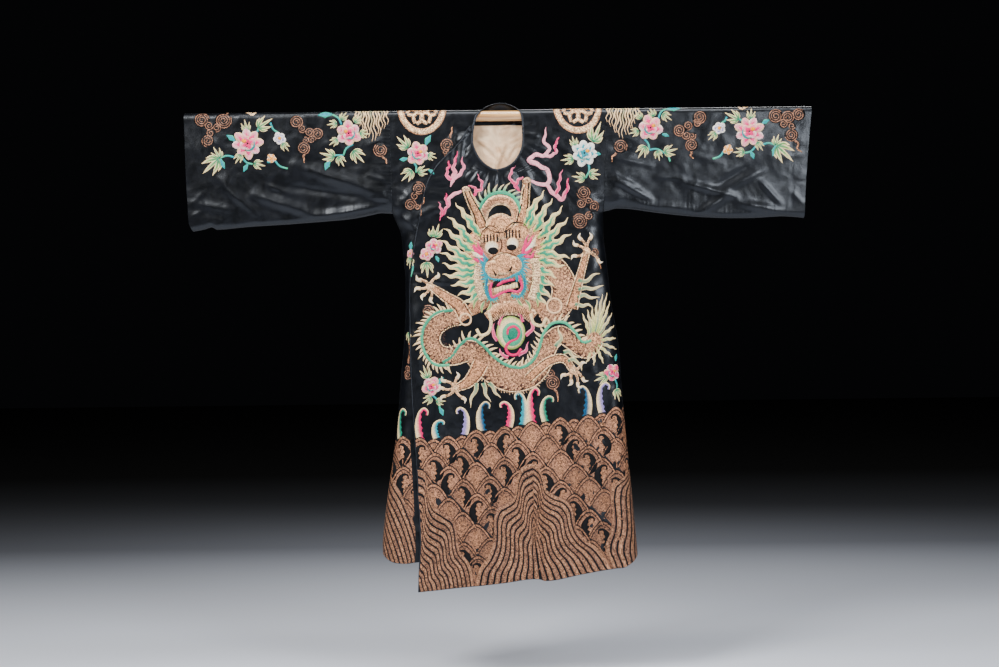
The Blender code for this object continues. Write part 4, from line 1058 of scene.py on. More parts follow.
def smooth_path(points, s):
    """Places along a smooth curve through points, s going from 0 to 1."""
    points = np.array(points, float)
    gaps = np.linalg.norm(np.diff(points, axis=0), axis=1)
    keys = np.concatenate([[0.0], np.cumsum(gaps)])
    slopes = np.gradient(points, keys, axis=0) if len(points) > 2 else np.repeat(
        (points[1:] - points[:1]) / gaps[0], 2, axis=0)
    at = np.clip(s, 0.0, 1.0) * keys[-1]
    row = np.clip(np.searchsorted(keys, at, side="right") - 1, 0, len(points) - 2)
    part = ((at - keys[row]) / gaps[row])[:, None]
    return curve_between(points[row], points[row + 1], slopes[row], slopes[row + 1], part, gaps[row][:, None])


def path_side(points, s):
    """Unit directions across a smooth path, to its left as seen on the cloth."""
    along = smooth_path(points, np.minimum(s + 0.01, 1.0)) - smooth_path(points, np.maximum(s - 0.01, 0.0))
    along /= np.maximum(np.linalg.norm(along, axis=-1, keepdims=True), 1e-9)
    return np.stack([along[:, 1], -along[:, 0]], axis=-1)


def blade(bm, path, widths, root, tip, edge=None, high=0.08, long=8, wide=2, wave=(0.0, 0.0), teeth=(0.0, 0),
          side_tints=None):
    """A band of stitches that follows a path and takes its widths along it. It goes
    from a root to a tip tint, with an edge tint or a tint for each of its sides."""
    rows = wide + 2
    lines = long + 2
    root, tip = np.array(root), np.array(tip)
    length = path_length(path)
    places = np.linspace(0.0, 1.0, len(widths))

    def place_at(s, t):
        at = np.clip((s * lines - 1.0) / long, 0.0, 1.0)
        off = np.clip((t * rows - 1.0) / wide, 0.0, 1.0) * 2.0 - 1.0
        rim = (t * rows < 0.5) | (t * rows > rows - 0.5) | (s * lines < 0.5) | (s * lines > lines - 0.5)
        half = np.interp(at, places, widths) / 2.0
        bite = 1.0 - teeth[0] * np.abs(np.sin(math.pi * teeth[1] * at)) * (off > 0.0)
        sway = wave[0] * np.sin(2.0 * math.pi * wave[1] * at) * np.minimum(at * 3.0, 1.0)
        place = smooth_path(path, at) + path_side(path, at) * (off * half * bite + sway)[:, None]
        height = np.where(rim, SKIRT, high * (0.6 + 0.4 * np.sqrt(1.0 - off * off * 0.9)))
        tint = root + (tip - root) * at[:, None]
        if side_tints is not None:
            share = ease(off * 0.85 + 0.86 - 0.30 * at)[:, None]
            tint = side_tints[0] * (1.0 - share) + side_tints[1] * share
        if edge is not None:
            tint = tint + (np.array(edge) - tint) * (np.abs(off) ** 3)[:, None]
        lie = np.stack([at * length * CM, off * half * CM], axis=-1)
        return np.stack([place[:, 0], place[:, 1], height], axis=-1), tint, lie

    stitch(bm, lines, rows, place_at)


def dark_curl(bm, a, down, hand):
    """Black curl in a wave: up from its root, bowed, hooked over and toothed inside."""
    black = tint_of("black")
    path = [(a + hand * off, down + CURL_DROP - CURL_RISE * up) for off, up in CURL_BOW]
    widths = [CURL_ROOT_WIDTH] + [CURL_WIDTH * part for part in CURL_FORM] + CURL_TIP_WIDTHS
    if hand < 0:
        path, widths = path[::-1], widths[::-1]
    blade(bm, path, widths, black, black, high=0.16, long=24, teeth=CURL_TEETH)


def wave_rows(gold, curls, first, last, top_at, rows, shift):
    """Rows of waves like roof tiles, each row half a wave on from the one above,
    after a low row that fills the gaps of the first."""
    for i in range(int((last - first) / ARCH_SPAN) + 2):
        a = first + ARCH_SPAN * i + (0.0 if shift else -ARCH_SPAN / 2.0)
        arch(gold, a, float(top_at(a)) + FILL_DROP, 0.95, FILL_HIGH)
    for row in range(rows):
        start = first + (ARCH_SPAN / 2.0 if (row + shift) % 2 else 0.0)
        for i in range(int((last - start) / ARCH_SPAN) + 1):
            a = start + ARCH_SPAN * i + 0.25 * math.sin(3.1 * i + 1.7 * row)
            down = float(top_at(a)) + ARCH_PITCH * row + 0.2 * math.sin(2.3 * i + row)
            # Each wave's tone wavers at random, and the rows are painted darker towards the hem as painted
            # shade.
            arch(gold, a, down, (0.90 + 0.14 * math.sin(1.9 * i + 2.7 * row)) * (1.0 - 0.042 * row))
            if (i + 2 * row) % 5 in (0, 2, 3) or row == 0 and i % 2:
                dark_curl(curls, a, down, 1 if (i + row) % 3 else -1)


def border(where, surface, first, last, top_at, rows, shift, edges, peaks=()):
    """The waves of a border, with its mountains if they lie in the same layer."""
    gold = new_stitching()
    curls = new_stitching()
    wave_rows(gold, curls, first, last, top_at, rows, shift)
    for peak in peaks:
        mountain(gold, *peak)
    trim(gold, *edges)
    trim(curls, *edges)
    sew_on(gold, "border_waves_" + where, surface, "gold_thread", gold_thread, black_thread)
    sew_on(curls, "border_curls_" + where, surface, "gold_thread", black_thread)


def border_top_at(a):
    return read(BORDER_TOP, np.array(a), "down")


front_edges = (overlap_low_a, front_high_a, front_hem_down)
border("front", on_front, ARCH_FIRST, ARCH_LAST, border_top_at, ARCH_ROWS, 0, front_edges)


# Mountains of the border: nested bands of couched gold, parted by black cord,
# that rise from the hem over the waves.
STRIPE_BLACK = 0.29
STRIPE_HIGH = 0.19
STRIPE_LINES = 4
MOUNTAIN_TONE = 0.68
MOUNTAIN_STEPS = 34
CENTRE_LEFT = [
    (8.8, 99.6), (6.2, 100.6), (4.8, 103.2), (4.2, 106.7), (3.0, 109.8), (0.8, 111.1), (-1.4, 112.4),
    (-2.3, 115.0), (-2.4, 118.9), (-2.8, 122.4), (-4.6, 126.8), (-6.9, 129.8), (-8.0, 134.3),
]
CENTRE_INNER = [
    (9.0, 119.0), (9.0, 119.8), (9.1, 120.8), (9.2, 122.0), (9.4, 123.6), (9.7, 125.4), (10.0, 127.6),
    (10.4, 130.0), (11.0, 133.6),
]
CENTRE_RIGHT = [
    (8.8, 99.6), (11.0, 101.1), (12.0, 104.2), (12.6, 106.8), (15.2, 108.8), (18.3, 110.0), (20.0, 112.2),
    (20.6, 115.7), (21.6, 118.7), (23.8, 121.4), (27.3, 124.0), (29.4, 126.7), (32.0, 131.4),
]
LEFT_OUTER = [
    (-24.4, 100.9), (-21.8, 102.0), (-21.0, 105.1), (-20.3, 109.0), (-18.9, 111.7), (-16.3, 113.5),
    (-14.1, 114.8), (-13.0, 117.8), (-12.7, 121.4), (-12.0, 124.4), (-9.5, 127.5), (-8.6, 130.1),
    (-8.0, 134.3),
]
LEFT_INNER = [(-24.4, 131.0), (-24.3, 132.0), (-24.1, 133.0), (-23.9, 134.0), (-23.7, 135.2), (-23.5, 136.6)]
RIGHT_OUTER = [
    (38.0, 102.0), (33.6, 104.9), (31.6, 106.2), (30.9, 108.8), (31.1, 113.2), (31.3, 116.7), (30.8, 119.7),
    (29.5, 122.8), (29.4, 125.4), (30.3, 127.1), (32.0, 131.4),
]
RIGHT_INNER = [
    (43.4, 103.0), (43.0, 106.0), (42.6, 110.0), (42.4, 115.0), (42.4, 120.0), (42.4, 125.0), (42.6, 131.4),
]


def mountain(bm, outer, inner, stripes):
    """Nested stripes between two lines: gold bands, each with a black cord after it and a painted highlight
    along its crown.
    """
    rows = stripes * STRIPE_LINES + 1
    shares = [0.0]
    for k in range(stripes):
        start = k / stripes
        shares += [start, start + 0.5 * (1.0 - STRIPE_BLACK) / stripes,
                   start + (1.0 - STRIPE_BLACK) / stripes, start + (1.0 - 0.4 * STRIPE_BLACK) / stripes]
    shares.append(1.0)
    base = tint_of("gold") * MOUNTAIN_TONE
    light = tint_of("gold_light")

    def place_at(s, t):
        row = np.clip(np.round(t * rows).astype(int), 0, rows)
        q = np.array(shares)[row]
        place = smooth_path(outer, s) * (1.0 - q[:, None]) + smooth_path(inner, s) * q[:, None]
        crown = ((row - 1) % STRIPE_LINES == 1) & (row > 0)
        low = ((row - 1) % STRIPE_LINES == 3) & (row > 0)
        high = np.where(row == 0, SKIRT, STRIPE_HIGH + 0.05 * crown - 0.04 * low)
        # Painted highlight on each crown row, wavering lighter and darker along the stripe.
        painted_highlight = (0.25 * crown + 0.2 * np.sin(row * 1.7) * np.sin(s * 9.0 + row))[:, None]
        tint = base + (light - base) * painted_highlight
        lie = np.stack([s * 0.30, q * 0.16], axis=-1)
        return np.stack([place[:, 0], place[:, 1], high], axis=-1), tint, lie

    dark = [0] + [1 + k * STRIPE_LINES + line for k in range(stripes) for line in (2, 3)]
    stitch(bm, MOUNTAIN_STEPS, rows, place_at, dark)


mountains = new_stitching()
for outer, inner, stripes in ((CENTRE_LEFT, CENTRE_INNER, 10), (CENTRE_RIGHT, CENTRE_INNER, 11),
                              (LEFT_OUTER, LEFT_INNER, 13), (RIGHT_OUTER, RIGHT_INNER, 7)):
    mountain(mountains, outer, inner, stripes)
trim(mountains, *front_edges)
sew_on(mountains, "border_mountains_front", on_front, "gold_thread", gold_thread, black_thread)


# Foam crests: silk curls that stand on the top line of the border, cream on
# the outer side and shaded to a toothed inner side.
CREST_SINK = 0.8
CREST_TEETH = (0.42, 7)
CREST_FOOT = 0.2
CREST_BOW = ((-0.45, 0.36), (-0.45, 0.68), (-0.05, 0.93), (0.55, 1.0), (1.10, 0.93), (1.05, 0.80))
CREST_FORM = (0.82, 0.82, 0.76, 0.62)
CREST_TIP = [1.05, 0.95, 0.7]
Crest = namedtuple("Crest", "a rise lean width tint")
CRESTS = [Crest(*row) for row in [
    (-22.6, 8.6, 1.5, 2.9, "pink"), (-18.0, 4.8, 1.5, 2.5, "turquoise"), (-10.6, 7.4, -1.6, 2.8, "lilac"),
    (-5.0, 8.0, 1.5, 3.4, "deep"), (2.0, 6.9, -1.7, 3.0, "pink"), (6.0, 9.0, -1.5, 3.0, "turquoise"),
    (9.2, 9.8, 1.5, 3.4, "pink"), (13.0, 6.9, 1.7, 2.7, "teal"), (24.2, 8.4, -1.5, 3.3, "deep"),
    (29.2, 8.2, 1.6, 2.7, "lilac"),
]]


def foam_crest(bm, crest, down):
    """One curl of foam: up from its root, bowed, and hooked over the way it leans."""
    a, rise, lean, width = crest.a, crest.rise, crest.lean, crest.width
    hand = 1 if lean > 0 else -1
    cream = tint_of("cream")
    path = [(a - hand * CREST_FOOT, down)] + [(a + lean * off, down - rise * up) for off, up in CREST_BOW]
    widths = [width * part for part in CREST_FORM] + CREST_TIP
    if hand > 0:
        path, widths = path[::-1], widths[::-1]
    blade(bm, path, widths, cream, cream, high=0.12, long=32, wide=5, teeth=CREST_TEETH,
          side_tints=(cream, tint_of(crest.tint)))


def foam_crests(where, surface, crests, top_at):
    foam = new_stitching()
    for crest in crests:
        foam_crest(foam, crest, float(top_at(crest.a)) + CREST_SINK)
    sew_on(foam, "foam_crests_" + where, surface, "silk_floss", silk_floss)


foam_crests("front", on_front, CRESTS, border_top_at)


# Dragon's body: couched gold in rows of small scales between light cords, with
# a silk line and pale spikes along the back, coiled from the neck to the tail.
SCALE_PITCH = 1.25
SCALE_ROW_SHARE = 0.62
CORD = 0.34
SPIKE_STEPS = 3
TAIL_END = (27.0, 64.4)

BODY = [
    (-10.8, 57.6), (-15.6, 58.6), (-19.2, 61.6), (-19.6, 65.6), (-16.8, 68.6), (-12.6, 68.6), (-8.4, 67.4),
    (-5.6, 70.0), (-2.0, 73.2), (2.8, 75.6), (8.0, 74.8), (12.0, 70.6), (13.8, 66.0), (17.4, 63.0),
    (21.2, 65.6), (24.8, 67.8), (28.2, 64.4),
]
BODY_WIDTHS = [4.4, 4.8, 5.2, 5.4, 5.2, 5.4, 6.4, 6.8, 7.0, 7.0, 6.8, 6.0, 5.4, 4.8, 4.5, 4.4, 3.8]
NECK_COIL = [(11.0, 41.5), (16.2, 44.6), (18.6, 50.0), (17.0, 55.2), (12.0, 58.2)]
NECK_WIDTHS = [6.0, 6.8, 7.0, 6.6, 5.4]
BACK_LINE_UPPER = [
    (-12.8, 55.6), (-18.3, 56.7), (-21.7, 61.0), (-22.2, 64.4), (-21.3, 67.8), (-18.3, 71.2), (-14.4, 71.4),
]
BACK_LINE_LOWER = [
    (-16.4, 70.6), (-13.8, 69.0), (-11.4, 65.7), (-8.4, 63.8), (-5.5, 65.3), (-1.2, 69.6), (3.1, 72.0),
    (6.5, 72.2), (9.5, 70.2), (11.2, 67.0), (12.5, 62.7), (15.1, 59.8), (18.5, 59.6), (21.5, 62.3),
    (24.0, 65.3), (26.2, 64.8),
]
BELLY_LINE = [(-7.4, 71.0), (-5.4, 74.4), (-2.4, 77.0), (3.1, 79.1), (8.9, 78.2), (13.4, 74.0)]
HOLE_LINE = [(-11.6, 59.7), (-15.0, 60.6), (-16.6, 63.2), (-15.8, 65.9), (-13.0, 66.2)]
COIL_LINE = [(15.2, 41.6), (19.8, 44.6), (22.1, 50.0), (20.6, 55.6)]


def disc(bm, centre, across, down, inner, outer, high=0.1, rise=0.1, rim=None, around=20, rings=4):
    """A round patch, raised in the middle, from an inner to an outer tint."""
    rows = rings + 1

    def place_at(s, t):
        ring = np.clip(t * rows / rings, 0.0, 1.0)
        turn = 2.0 * math.pi * s
        tint = tint_of(inner) * (1.0 - ring[:, None]) + tint_of(outer) * ring[:, None]
        if rim is not None:
            tint = np.where((ring > 0.9)[:, None], tint_of(rim), tint)
        height = np.where(t > 1.0 - 0.5 / rows, SKIRT, high + rise * (1.0 - ring * ring))
        x = centre[0] + across / 2.0 * ring * np.cos(turn)
        y = centre[1] + down / 2.0 * ring * np.sin(turn)
        lie = np.stack([ring * across * CM / 2.0, s * across * CM], axis=-1)
        return np.stack([x, y, height], axis=-1), tint, lie

    stitch(bm, around, rows, place_at)


def band(bm, path, widths, root, tip=None, edge=None, **how):
    """A blade by the names of its tints."""
    blade(bm, path, widths, tint_of(root), tint_of(tip or root), tint_of(edge) if edge else None, **how)


def spot(path, at):
    """A place on a smooth path, with the directions across and along it there."""
    at = np.array([at])
    side = path_side(path, at)[0]
    return smooth_path(path, at)[0], side, np.array([-side[1], side[0]])


def width_at(widths, at):
    """Width of a band at a share of its way."""
    return float(np.interp(at, np.linspace(0.0, 1.0, len(widths)), widths))


def side_line(path, widths, hand, count):
    """Points along one side of a band."""
    points = []
    for at in np.linspace(0.0, 1.0, count):
        place, side = spot(path, at)[:2]
        points.append(place + hand * width_at(widths, at) / 2.0 * side)
    return points


def scaled_body(bm, path, widths, high):
    """A band of overlapped scales, each dark at its root and light at its rim."""
    band(bm, path, widths, "gold_dark", high=high, long=46, wide=4)
    rows = int(path_length(path) / (SCALE_PITCH * SCALE_ROW_SHARE))
    dark, light = tint_of("gold"), tint_of("gold_light")
    for row in range(rows):
        at = (row + 0.5) / rows
        middle, side, along = spot(path, at)
        width = width_at(widths, at) - 2.0 * CORD
        count = max(2, round(width / SCALE_PITCH))
        for i in range(count + row % 2):
            off = ((i + (0.5 if row % 2 == 0 else 0.0)) / count - 0.5) * width
            radius = width / count * 0.56
            root = middle + side * off

            def place_at(s, t, root=root, side=side, along=along, radius=radius, off=off):
                x = 2.0 * s - 1.0
                reach = (t - 0.15) * np.sqrt(np.maximum(1.0 - x * x * 0.96, 0.0)) * radius * 1.45
                span = np.clip(off + x * radius, -width / 2.0, width / 2.0) - off
                place = root + side * span[:, None] + along * reach[:, None]
                fall = 1.0 - (np.abs(off) / (width / 2.0 + 0.1)) ** 2 * 0.55
                height = (high + 0.05 + 0.07 * t) * fall
                tint = dark + (light - dark) * (t ** 2)[:, None]
                lie = np.stack([t * radius * CM, x * radius * CM], axis=-1)
                return np.stack([place[:, 0], place[:, 1], height], axis=-1), tint, lie

            stitch(bm, 4, 2, place_at)
    for hand in (-1.0, 1.0):
        band(bm, side_line(path, widths, hand, 3 * len(widths)), [CORD, CORD], "gold_pale", high=high + 0.10,
             long=60)


def spikes(bm, path, hand, count, length, width, lean, root, tip, high=0.09):
    """Short pointed stitches that stand on one side of a line."""
    for i in range(count):
        foot, across, along = spot(path, (i + 0.5) / count)
        side = across * hand
        reach = length * (0.85 + 0.25 * math.sin(i * 2.3))
        middle = foot + side * reach * 0.5 + along * lean * 0.25
        band(bm, [foot, middle, foot + side * reach + along * lean], [width, width * 0.8, 0.08], root, tip,
             high=high, long=SPIKE_STEPS)


dragon_gold = new_stitching()
dragon_silk = new_stitching()
scaled_body(dragon_gold, NECK_COIL, NECK_WIDTHS, 0.12)
scaled_body(dragon_gold, BODY, BODY_WIDTHS, 0.16)
disc(dragon_gold, TAIL_END, 5.0, 5.4, "gold_light", "gold", 0.16, 0.08, "gold_pale", around=20, rings=3)
spikes(dragon_gold, BELLY_LINE, -1, 34, 1.0, 0.42, 0.3, "gold_dark", "gold_pale", 0.12)
spikes(dragon_gold, HOLE_LINE, 1, 20, 1.1, 0.30, 0.2, "black", "gold_dark", 0.34)
spikes(dragon_gold, COIL_LINE, -1, 18, 1.1, 0.40, 0.3, "gold_dark", "gold_pale", 0.12)
for line in (BACK_LINE_UPPER, BACK_LINE_LOWER):
    band(dragon_silk, line, [0.8, 0.85, 0.8], "teal", "mint", "mint", high=0.30, long=60)
spikes(dragon_silk, BACK_LINE_UPPER, -1, 26, 2.4, 0.85, 1.0, "gold_pale", "cream", 0.20)
spikes(dragon_silk, BACK_LINE_LOWER, 1, 42, 2.6, 0.85, 1.0, "gold_pale", "cream", 0.20)
sew_on(dragon_gold, "dragon_body_gold", on_front, "gold_thread", gold_thread)
sew_on(dragon_silk, "dragon_body_silk", on_front, "silk_floss", silk_floss)


# Dragon's legs: gold with light cord edges, five spread toes with pale claws,
# and small flames at the joints.
Limb = namedtuple("Limb", "path widths palm toes")
LIMBS = [
    Limb([(-9.4, 58.4), (-11.9, 54.2), (-16.0, 51.4), (-19.4, 48.9)], [4.0, 3.6, 2.6, 1.7], (-19.7, 48.7),
         [((-18.0, 46.4), 0.5), ((-22.4, 46.9), -0.5), ((-22.7, 49.5), 0.4), ((-21.4, 51.3), 0.5),
          ((-19.4, 52.2), 0.5)]),
    Limb([(20.6, 55.6), (21.8, 51.2), (23.2, 46.4), (25.0, 40.0)], [3.4, 2.6, 2.0, 1.8], (25.2, 39.4),
         [((23.6, 35.8), -0.5), ((26.1, 35.7), 0.4), ((22.4, 37.5), -0.4), ((22.0, 40.7), 0.5),
          ((28.5, 41.8), 0.5)]),
    Limb([(-5.4, 70.8), (-7.2, 74.2), (-9.8, 76.8), (-12.6, 78.0)], [4.4, 4.0, 3.0, 1.9], (-12.8, 78.0),
         [((-15.7, 75.9), -0.5), ((-16.3, 78.1), 0.4), ((-15.9, 80.3), 0.5), ((-10.8, 80.8), -0.5),
          ((-12.3, 75.0), 0.5)]),
    Limb([(8.0, 75.6), (12.4, 71.8), (16.2, 69.8), (18.8, 70.2), (20.6, 72.9)], [2.6, 2.6, 2.4, 2.2, 1.9],
         (20.9, 73.3),
         [((18.5, 74.6), 0.5), ((20.2, 76.2), -0.4), ((23.1, 71.8), -0.5), ((23.6, 75.6), 0.5),
          ((22.2, 77.0), 0.4)]),
]
JOINT_FLAMES = [
    [(22.6, 47.6), (24.4, 48.0), (26.6, 46.4), (28.9, 45.6)],
    [(22.6, 50.2), (25.0, 49.8), (27.4, 50.0), (30.0, 49.0)],
    [(22.4, 52.4), (24.6, 51.8), (26.6, 52.8), (28.6, 52.4)],
    [(21.6, 54.4), (23.6, 54.8), (25.0, 54.6), (26.6, 55.4)],
    [(-6.8, 76.6), (-7.2, 79.4), (-8.6, 81.4), (-8.4, 83.6)],
    [(-4.9, 76.6), (-4.2, 78.8), (-4.0, 80.4), (-2.6, 82.0)],
    [(-3.2, 76.6), (-1.6, 78.6), (-1.4, 79.6), (0.2, 80.8)],
    [(15.8, 66.4), (17.4, 64.4), (17.2, 62.6), (16.6, 60.8)],
    [(18.2, 68.2), (20.0, 68.0), (21.0, 69.4), (22.6, 69.6)],
    [(19.4, 70.6), (21.2, 70.2), (22.6, 71.6), (23.4, 73.4)],
]


def toe(gold, silk, palm, tip, bend):
    """A toe that bends at its knuckle, with a claw."""
    a, b = np.array(palm), np.array(tip)
    knuckle = (a + b) / 2.0 + np.array([b[1] - a[1], a[0] - b[0]]) * 0.25 * bend
    band(gold, [a, knuckle, b], [1.2, 0.7, 0.6], "gold_bright", "gold_bright", "gold_pale", high=0.34, long=5)
    way = (b - knuckle) / math.dist(b, knuckle)
    side = np.array([way[1], -way[0]]) * (1.0 if bend > 0 else -1.0)
    band(silk, [b - way * 0.3, b + way * 0.8 - side * 0.15, b + way * 1.5 + side * 0.9], [1.0, 0.9, 0.05],
         "gold_pale", "white", "cream", high=0.37, long=8, wide=3)


limb_gold = new_stitching()
limb_silk = new_stitching()
for limb in LIMBS:
    band(limb_gold, limb.path, limb.widths, "gold_bright", high=0.30, long=18, wide=4)
    for hand in (-1.0, 1.0):
        edge = side_line(limb.path, limb.widths, hand, len(limb.widths))
        band(limb_gold, edge, [0.36, 0.32], "gold_pale", high=0.40, long=18)
        inset = [place * 0.76 + spot(limb.path, at)[0] * 0.24
                 for place, at in zip(edge, np.linspace(0.0, 1.0, len(edge)))]
        band(limb_gold, inset, [0.22, 0.20], "gold_dark", high=0.37, long=18)
    disc(limb_gold, limb.palm, 2.3, 2.3, "gold_pale", "gold_bright", 0.32, 0.08, "gold_pale")
for limb in LIMBS:
    for tip, bend in limb.toes:
        toe(limb_gold, limb_silk, limb.palm, tip, bend)
for flame in JOINT_FLAMES:
    band(limb_silk, flame, [1.3, 1.1, 0.8, 0.1], "teal", "cream", "cream", high=0.36, long=10,
         wide=4, wave=(0.18, 1.6))
sew_on(limb_gold, "dragon_legs_gold", on_front, "gold_thread", gold_thread)
sew_on(limb_silk, "dragon_legs_silk", on_front, "silk_floss", silk_floss)


# Dragon's tail: a fan of long wavy silk ribbons, pale at the edges, laid from
# the gold disc at the end of the body.
TAIL_INSET = 0.48
TAIL_ROOTS = [
    (24.4, 62.9), (25.2, 62.2), (26.0, 61.6), (26.8, 61.0), (27.6, 60.8), (28.4, 61.0), (29.0, 61.8),
    (29.4, 62.8), (29.6, 64.0), (29.6, 65.2), (29.2, 66.4), (28.6, 67.4), (27.6, 68.4), (26.4, 69.0),
    (25.0, 69.4),
]
TAIL_TIPS = [
    (23.6, 57.1), (25.1, 56.0), (26.4, 55.0), (27.9, 53.2), (29.6, 51.6), (31.3, 51.2), (32.4, 53.6),
    (33.0, 57.0), (33.5, 60.6), (33.9, 64.2), (33.9, 67.4), (32.3, 69.6), (29.6, 71.4), (26.8, 72.0),
    (24.6, 71.4),
]


def drawn_in(place, middle, share):
    """A place moved towards a middle by a share of the way."""
    return np.array(place) * (1.0 - share) + np.array(middle) * share


tail = new_stitching()
for i, tip in enumerate(TAIL_TIPS):
    start = drawn_in(TAIL_ROOTS[i], TAIL_END, TAIL_INSET)
    middle = (start[0] * 0.5 + tip[0] * 0.5 + 0.3 * math.cos(i * 0.4), start[1] * 0.5 + tip[1] * 0.5)
    band(tail, [start, middle, tip], [0.60, 0.86, 0.76, 0.1], "teal" if i % 3 == 1 else "leaf", "cream",
         "cream", high=0.20, long=16, wide=3, wave=(0.13, 3.0))
sew_on(tail, "dragon_tail_silk", on_front, "silk_floss", silk_floss)


# Dragon's mane: tapering silk flames that stand out all round the head, green
# in the middle and cream at the edges and tips.
MANE = [
    [(-6.0, 33.6), (-8.6, 29.8), (-12.2, 25.0)], [(-8.0, 36.2), (-10.6, 32.8), (-14.4, 28.8)],
    [(-8.4, 38.6), (-11.6, 35.6), (-15.5, 32.2)], [(-8.6, 41.0), (-12.6, 38.6), (-16.7, 35.4)],
    [(-7.6, 42.8), (-12.0, 41.2), (-16.8, 39.0)], [(-7.6, 44.4), (-11.8, 43.8), (-16.2, 42.4)],
    [(-7.4, 45.4), (-11.6, 46.0), (-16.2, 45.7)], [(-6.6, 47.0), (-10.0, 48.2), (-13.8, 48.4)],
    [(-6.2, 48.6), (-8.6, 50.4), (-12.0, 51.4)], [(-5.8, 50.4), (-7.8, 52.6), (-10.6, 54.0)],
    [(8.2, 30.4), (10.0, 26.6), (13.4, 21.9)], [(11.2, 32.4), (12.4, 28.6), (15.6, 24.2)],
    [(12.6, 34.4), (14.8, 30.8), (18.6, 26.4)], [(13.4, 36.8), (16.0, 33.6), (20.1, 29.8)],
    [(13.4, 38.4), (16.4, 36.8), (20.7, 34.1)], [(12.4, 39.8), (15.8, 40.4), (20.4, 41.1)],
    [(12.4, 41.8), (15.2, 42.8), (19.0, 43.6)], [(9.4, 31.2), (9.8, 28.8), (11.0, 26.4)],
    [(11.6, 44.2), (13.8, 45.4), (16.6, 46.8)], [(11.6, 46.6), (13.6, 48.4), (16.0, 49.0)],
    [(11.4, 49.0), (12.8, 51.0), (15.2, 52.6)], [(10.6, 51.2), (11.8, 53.0), (13.4, 54.6)],
]
MANE_MIDDLE = (1.8, 41.4)
MANE_INSET = 0.13

mane = new_stitching()
for lock in MANE:
    reach = math.dist(lock[0], lock[-1])
    root = drawn_in(lock[0], MANE_MIDDLE, MANE_INSET)
    band(mane, [root] + lock, [0.7, 2.1, 2.4, 2.0, 1.5, 0.8, 0.1], "leaf", "cream", "cream", high=0.42,
         long=24, wide=4, wave=(0.30, reach / 3.0))
    core = [(root + np.array(lock[0])) / 2.0, lock[0], lock[1],
            np.array(lock[1]) * 0.7 + np.array(lock[2]) * 0.3]
    band(mane, core, [0.7, 1.6, 1.9, 1.5, 0.9, 0.1], "teal", "mint", high=0.47, long=18,
         wave=(0.24, reach / 4.0))
sew_on(mane, "dragon_mane_silk", on_front, "silk_floss", silk_floss)


# Dragon's head, seen from in front: a padded gold face with horns, a crest and
# a broad nose; silk for the eyes, the lips, the fringes and the brow flames.
HEAD_RAYS = 64
HORN_LEFT = [(-4.6, 32.4), (-5.8, 28.6), (-7.8, 24.6), (-9.2, 21.2)]
HORN_RIGHT = [(6.4, 32.0), (7.3, 27.2), (7.9, 22.6), (8.3, 18.8)]
CREST_ARCH = [(-4.5, 30.6), (-3.8, 27.3), (-2.0, 25.1), (0.5, 24.3), (3.1, 25.0), (4.8, 27.2), (5.2, 30.2)]
CREST_RIM = [(-5.8, 30.4), (-5.1, 26.3), (-2.8, 23.3), (0.5, 22.2), (3.7, 23.1), (6.0, 26.2), (6.3, 29.8)]
CHIN_LINE = [(-3.4, 58.2), (-0.4, 56.0), (3.6, 55.0), (7.2, 56.0), (9.8, 58.2)]
BAND_LEFT = [(-5.6, 43.0), (-6.2, 46.4), (-5.8, 49.8), (-4.6, 53.0)]
BAND_RIGHT = [(10.2, 41.4), (10.9, 45.0), (10.4, 49.4), (9.2, 53.0)]
FRINGE = [
    (5.2, 40.4), (6.7, 42.4), (6.3, 44.8), (4.4, 45.8), (2.2, 46.8), (-0.4, 47.1), (-2.8, 46.6),
    (-4.1, 44.8), (-4.0, 42.6), (-3.0, 41.2),
]
JAW_LEFT = [(-3.4, 46.9), (-3.7, 49.0), (-3.4, 51.2), (-2.4, 52.8), (-0.4, 52.4)]
JAW_RIGHT = [(6.5, 45.2), (7.3, 47.4), (7.1, 50.2), (5.8, 52.0), (3.4, 51.6)]
LIP = [
    (-2.2, 47.9), (-2.5, 50.4), (-2.1, 52.1), (0.6, 51.0), (3.0, 50.2), (5.3, 50.7), (6.5, 49.7),
    (6.2, 47.6), (5.6, 46.0),
]
JAW_FILLS = [
    [(-8.6, 56.4), (-6.2, 54.4), (-4.0, 52.4), (-2.6, 51.0)],
    [(12.6, 55.6), (10.6, 54.2), (8.2, 53.4), (6.2, 52.2)],
]
JAW_TUFTS = [
    [(-5.8, 52.0), (-7.0, 53.4), (-7.4, 55.4)], [(-4.2, 53.2), (-5.0, 54.8), (-5.0, 56.6)],
    [(9.4, 51.6), (10.8, 53.2), (11.0, 55.2)], [(7.4, 53.0), (8.6, 54.6), (8.6, 56.2)],
    [(-2.4, 53.6), (-2.6, 54.8), (-3.6, 55.8)], [(5.2, 52.8), (5.9, 54.0), (6.8, 54.8)],
]
BROW_FLAMES = [
    [(-3.6, 41.2), (-5.2, 38.8), (-6.0, 36.0)], [(-3.8, 41.6), (-5.9, 39.6), (-7.6, 37.4)],
    [(-4.4, 41.8), (-6.4, 41.6), (-8.0, 40.2)], [(-4.6, 39.8), (-6.8, 38.0), (-6.9, 35.8)],
    [(7.0, 40.2), (7.3, 37.6), (8.8, 34.2)], [(7.2, 40.6), (9.0, 38.4), (10.2, 36.4)],
    [(7.4, 41.0), (9.4, 40.6), (10.6, 39.0)], [(7.3, 38.6), (8.8, 36.6), (10.2, 34.4)],
]
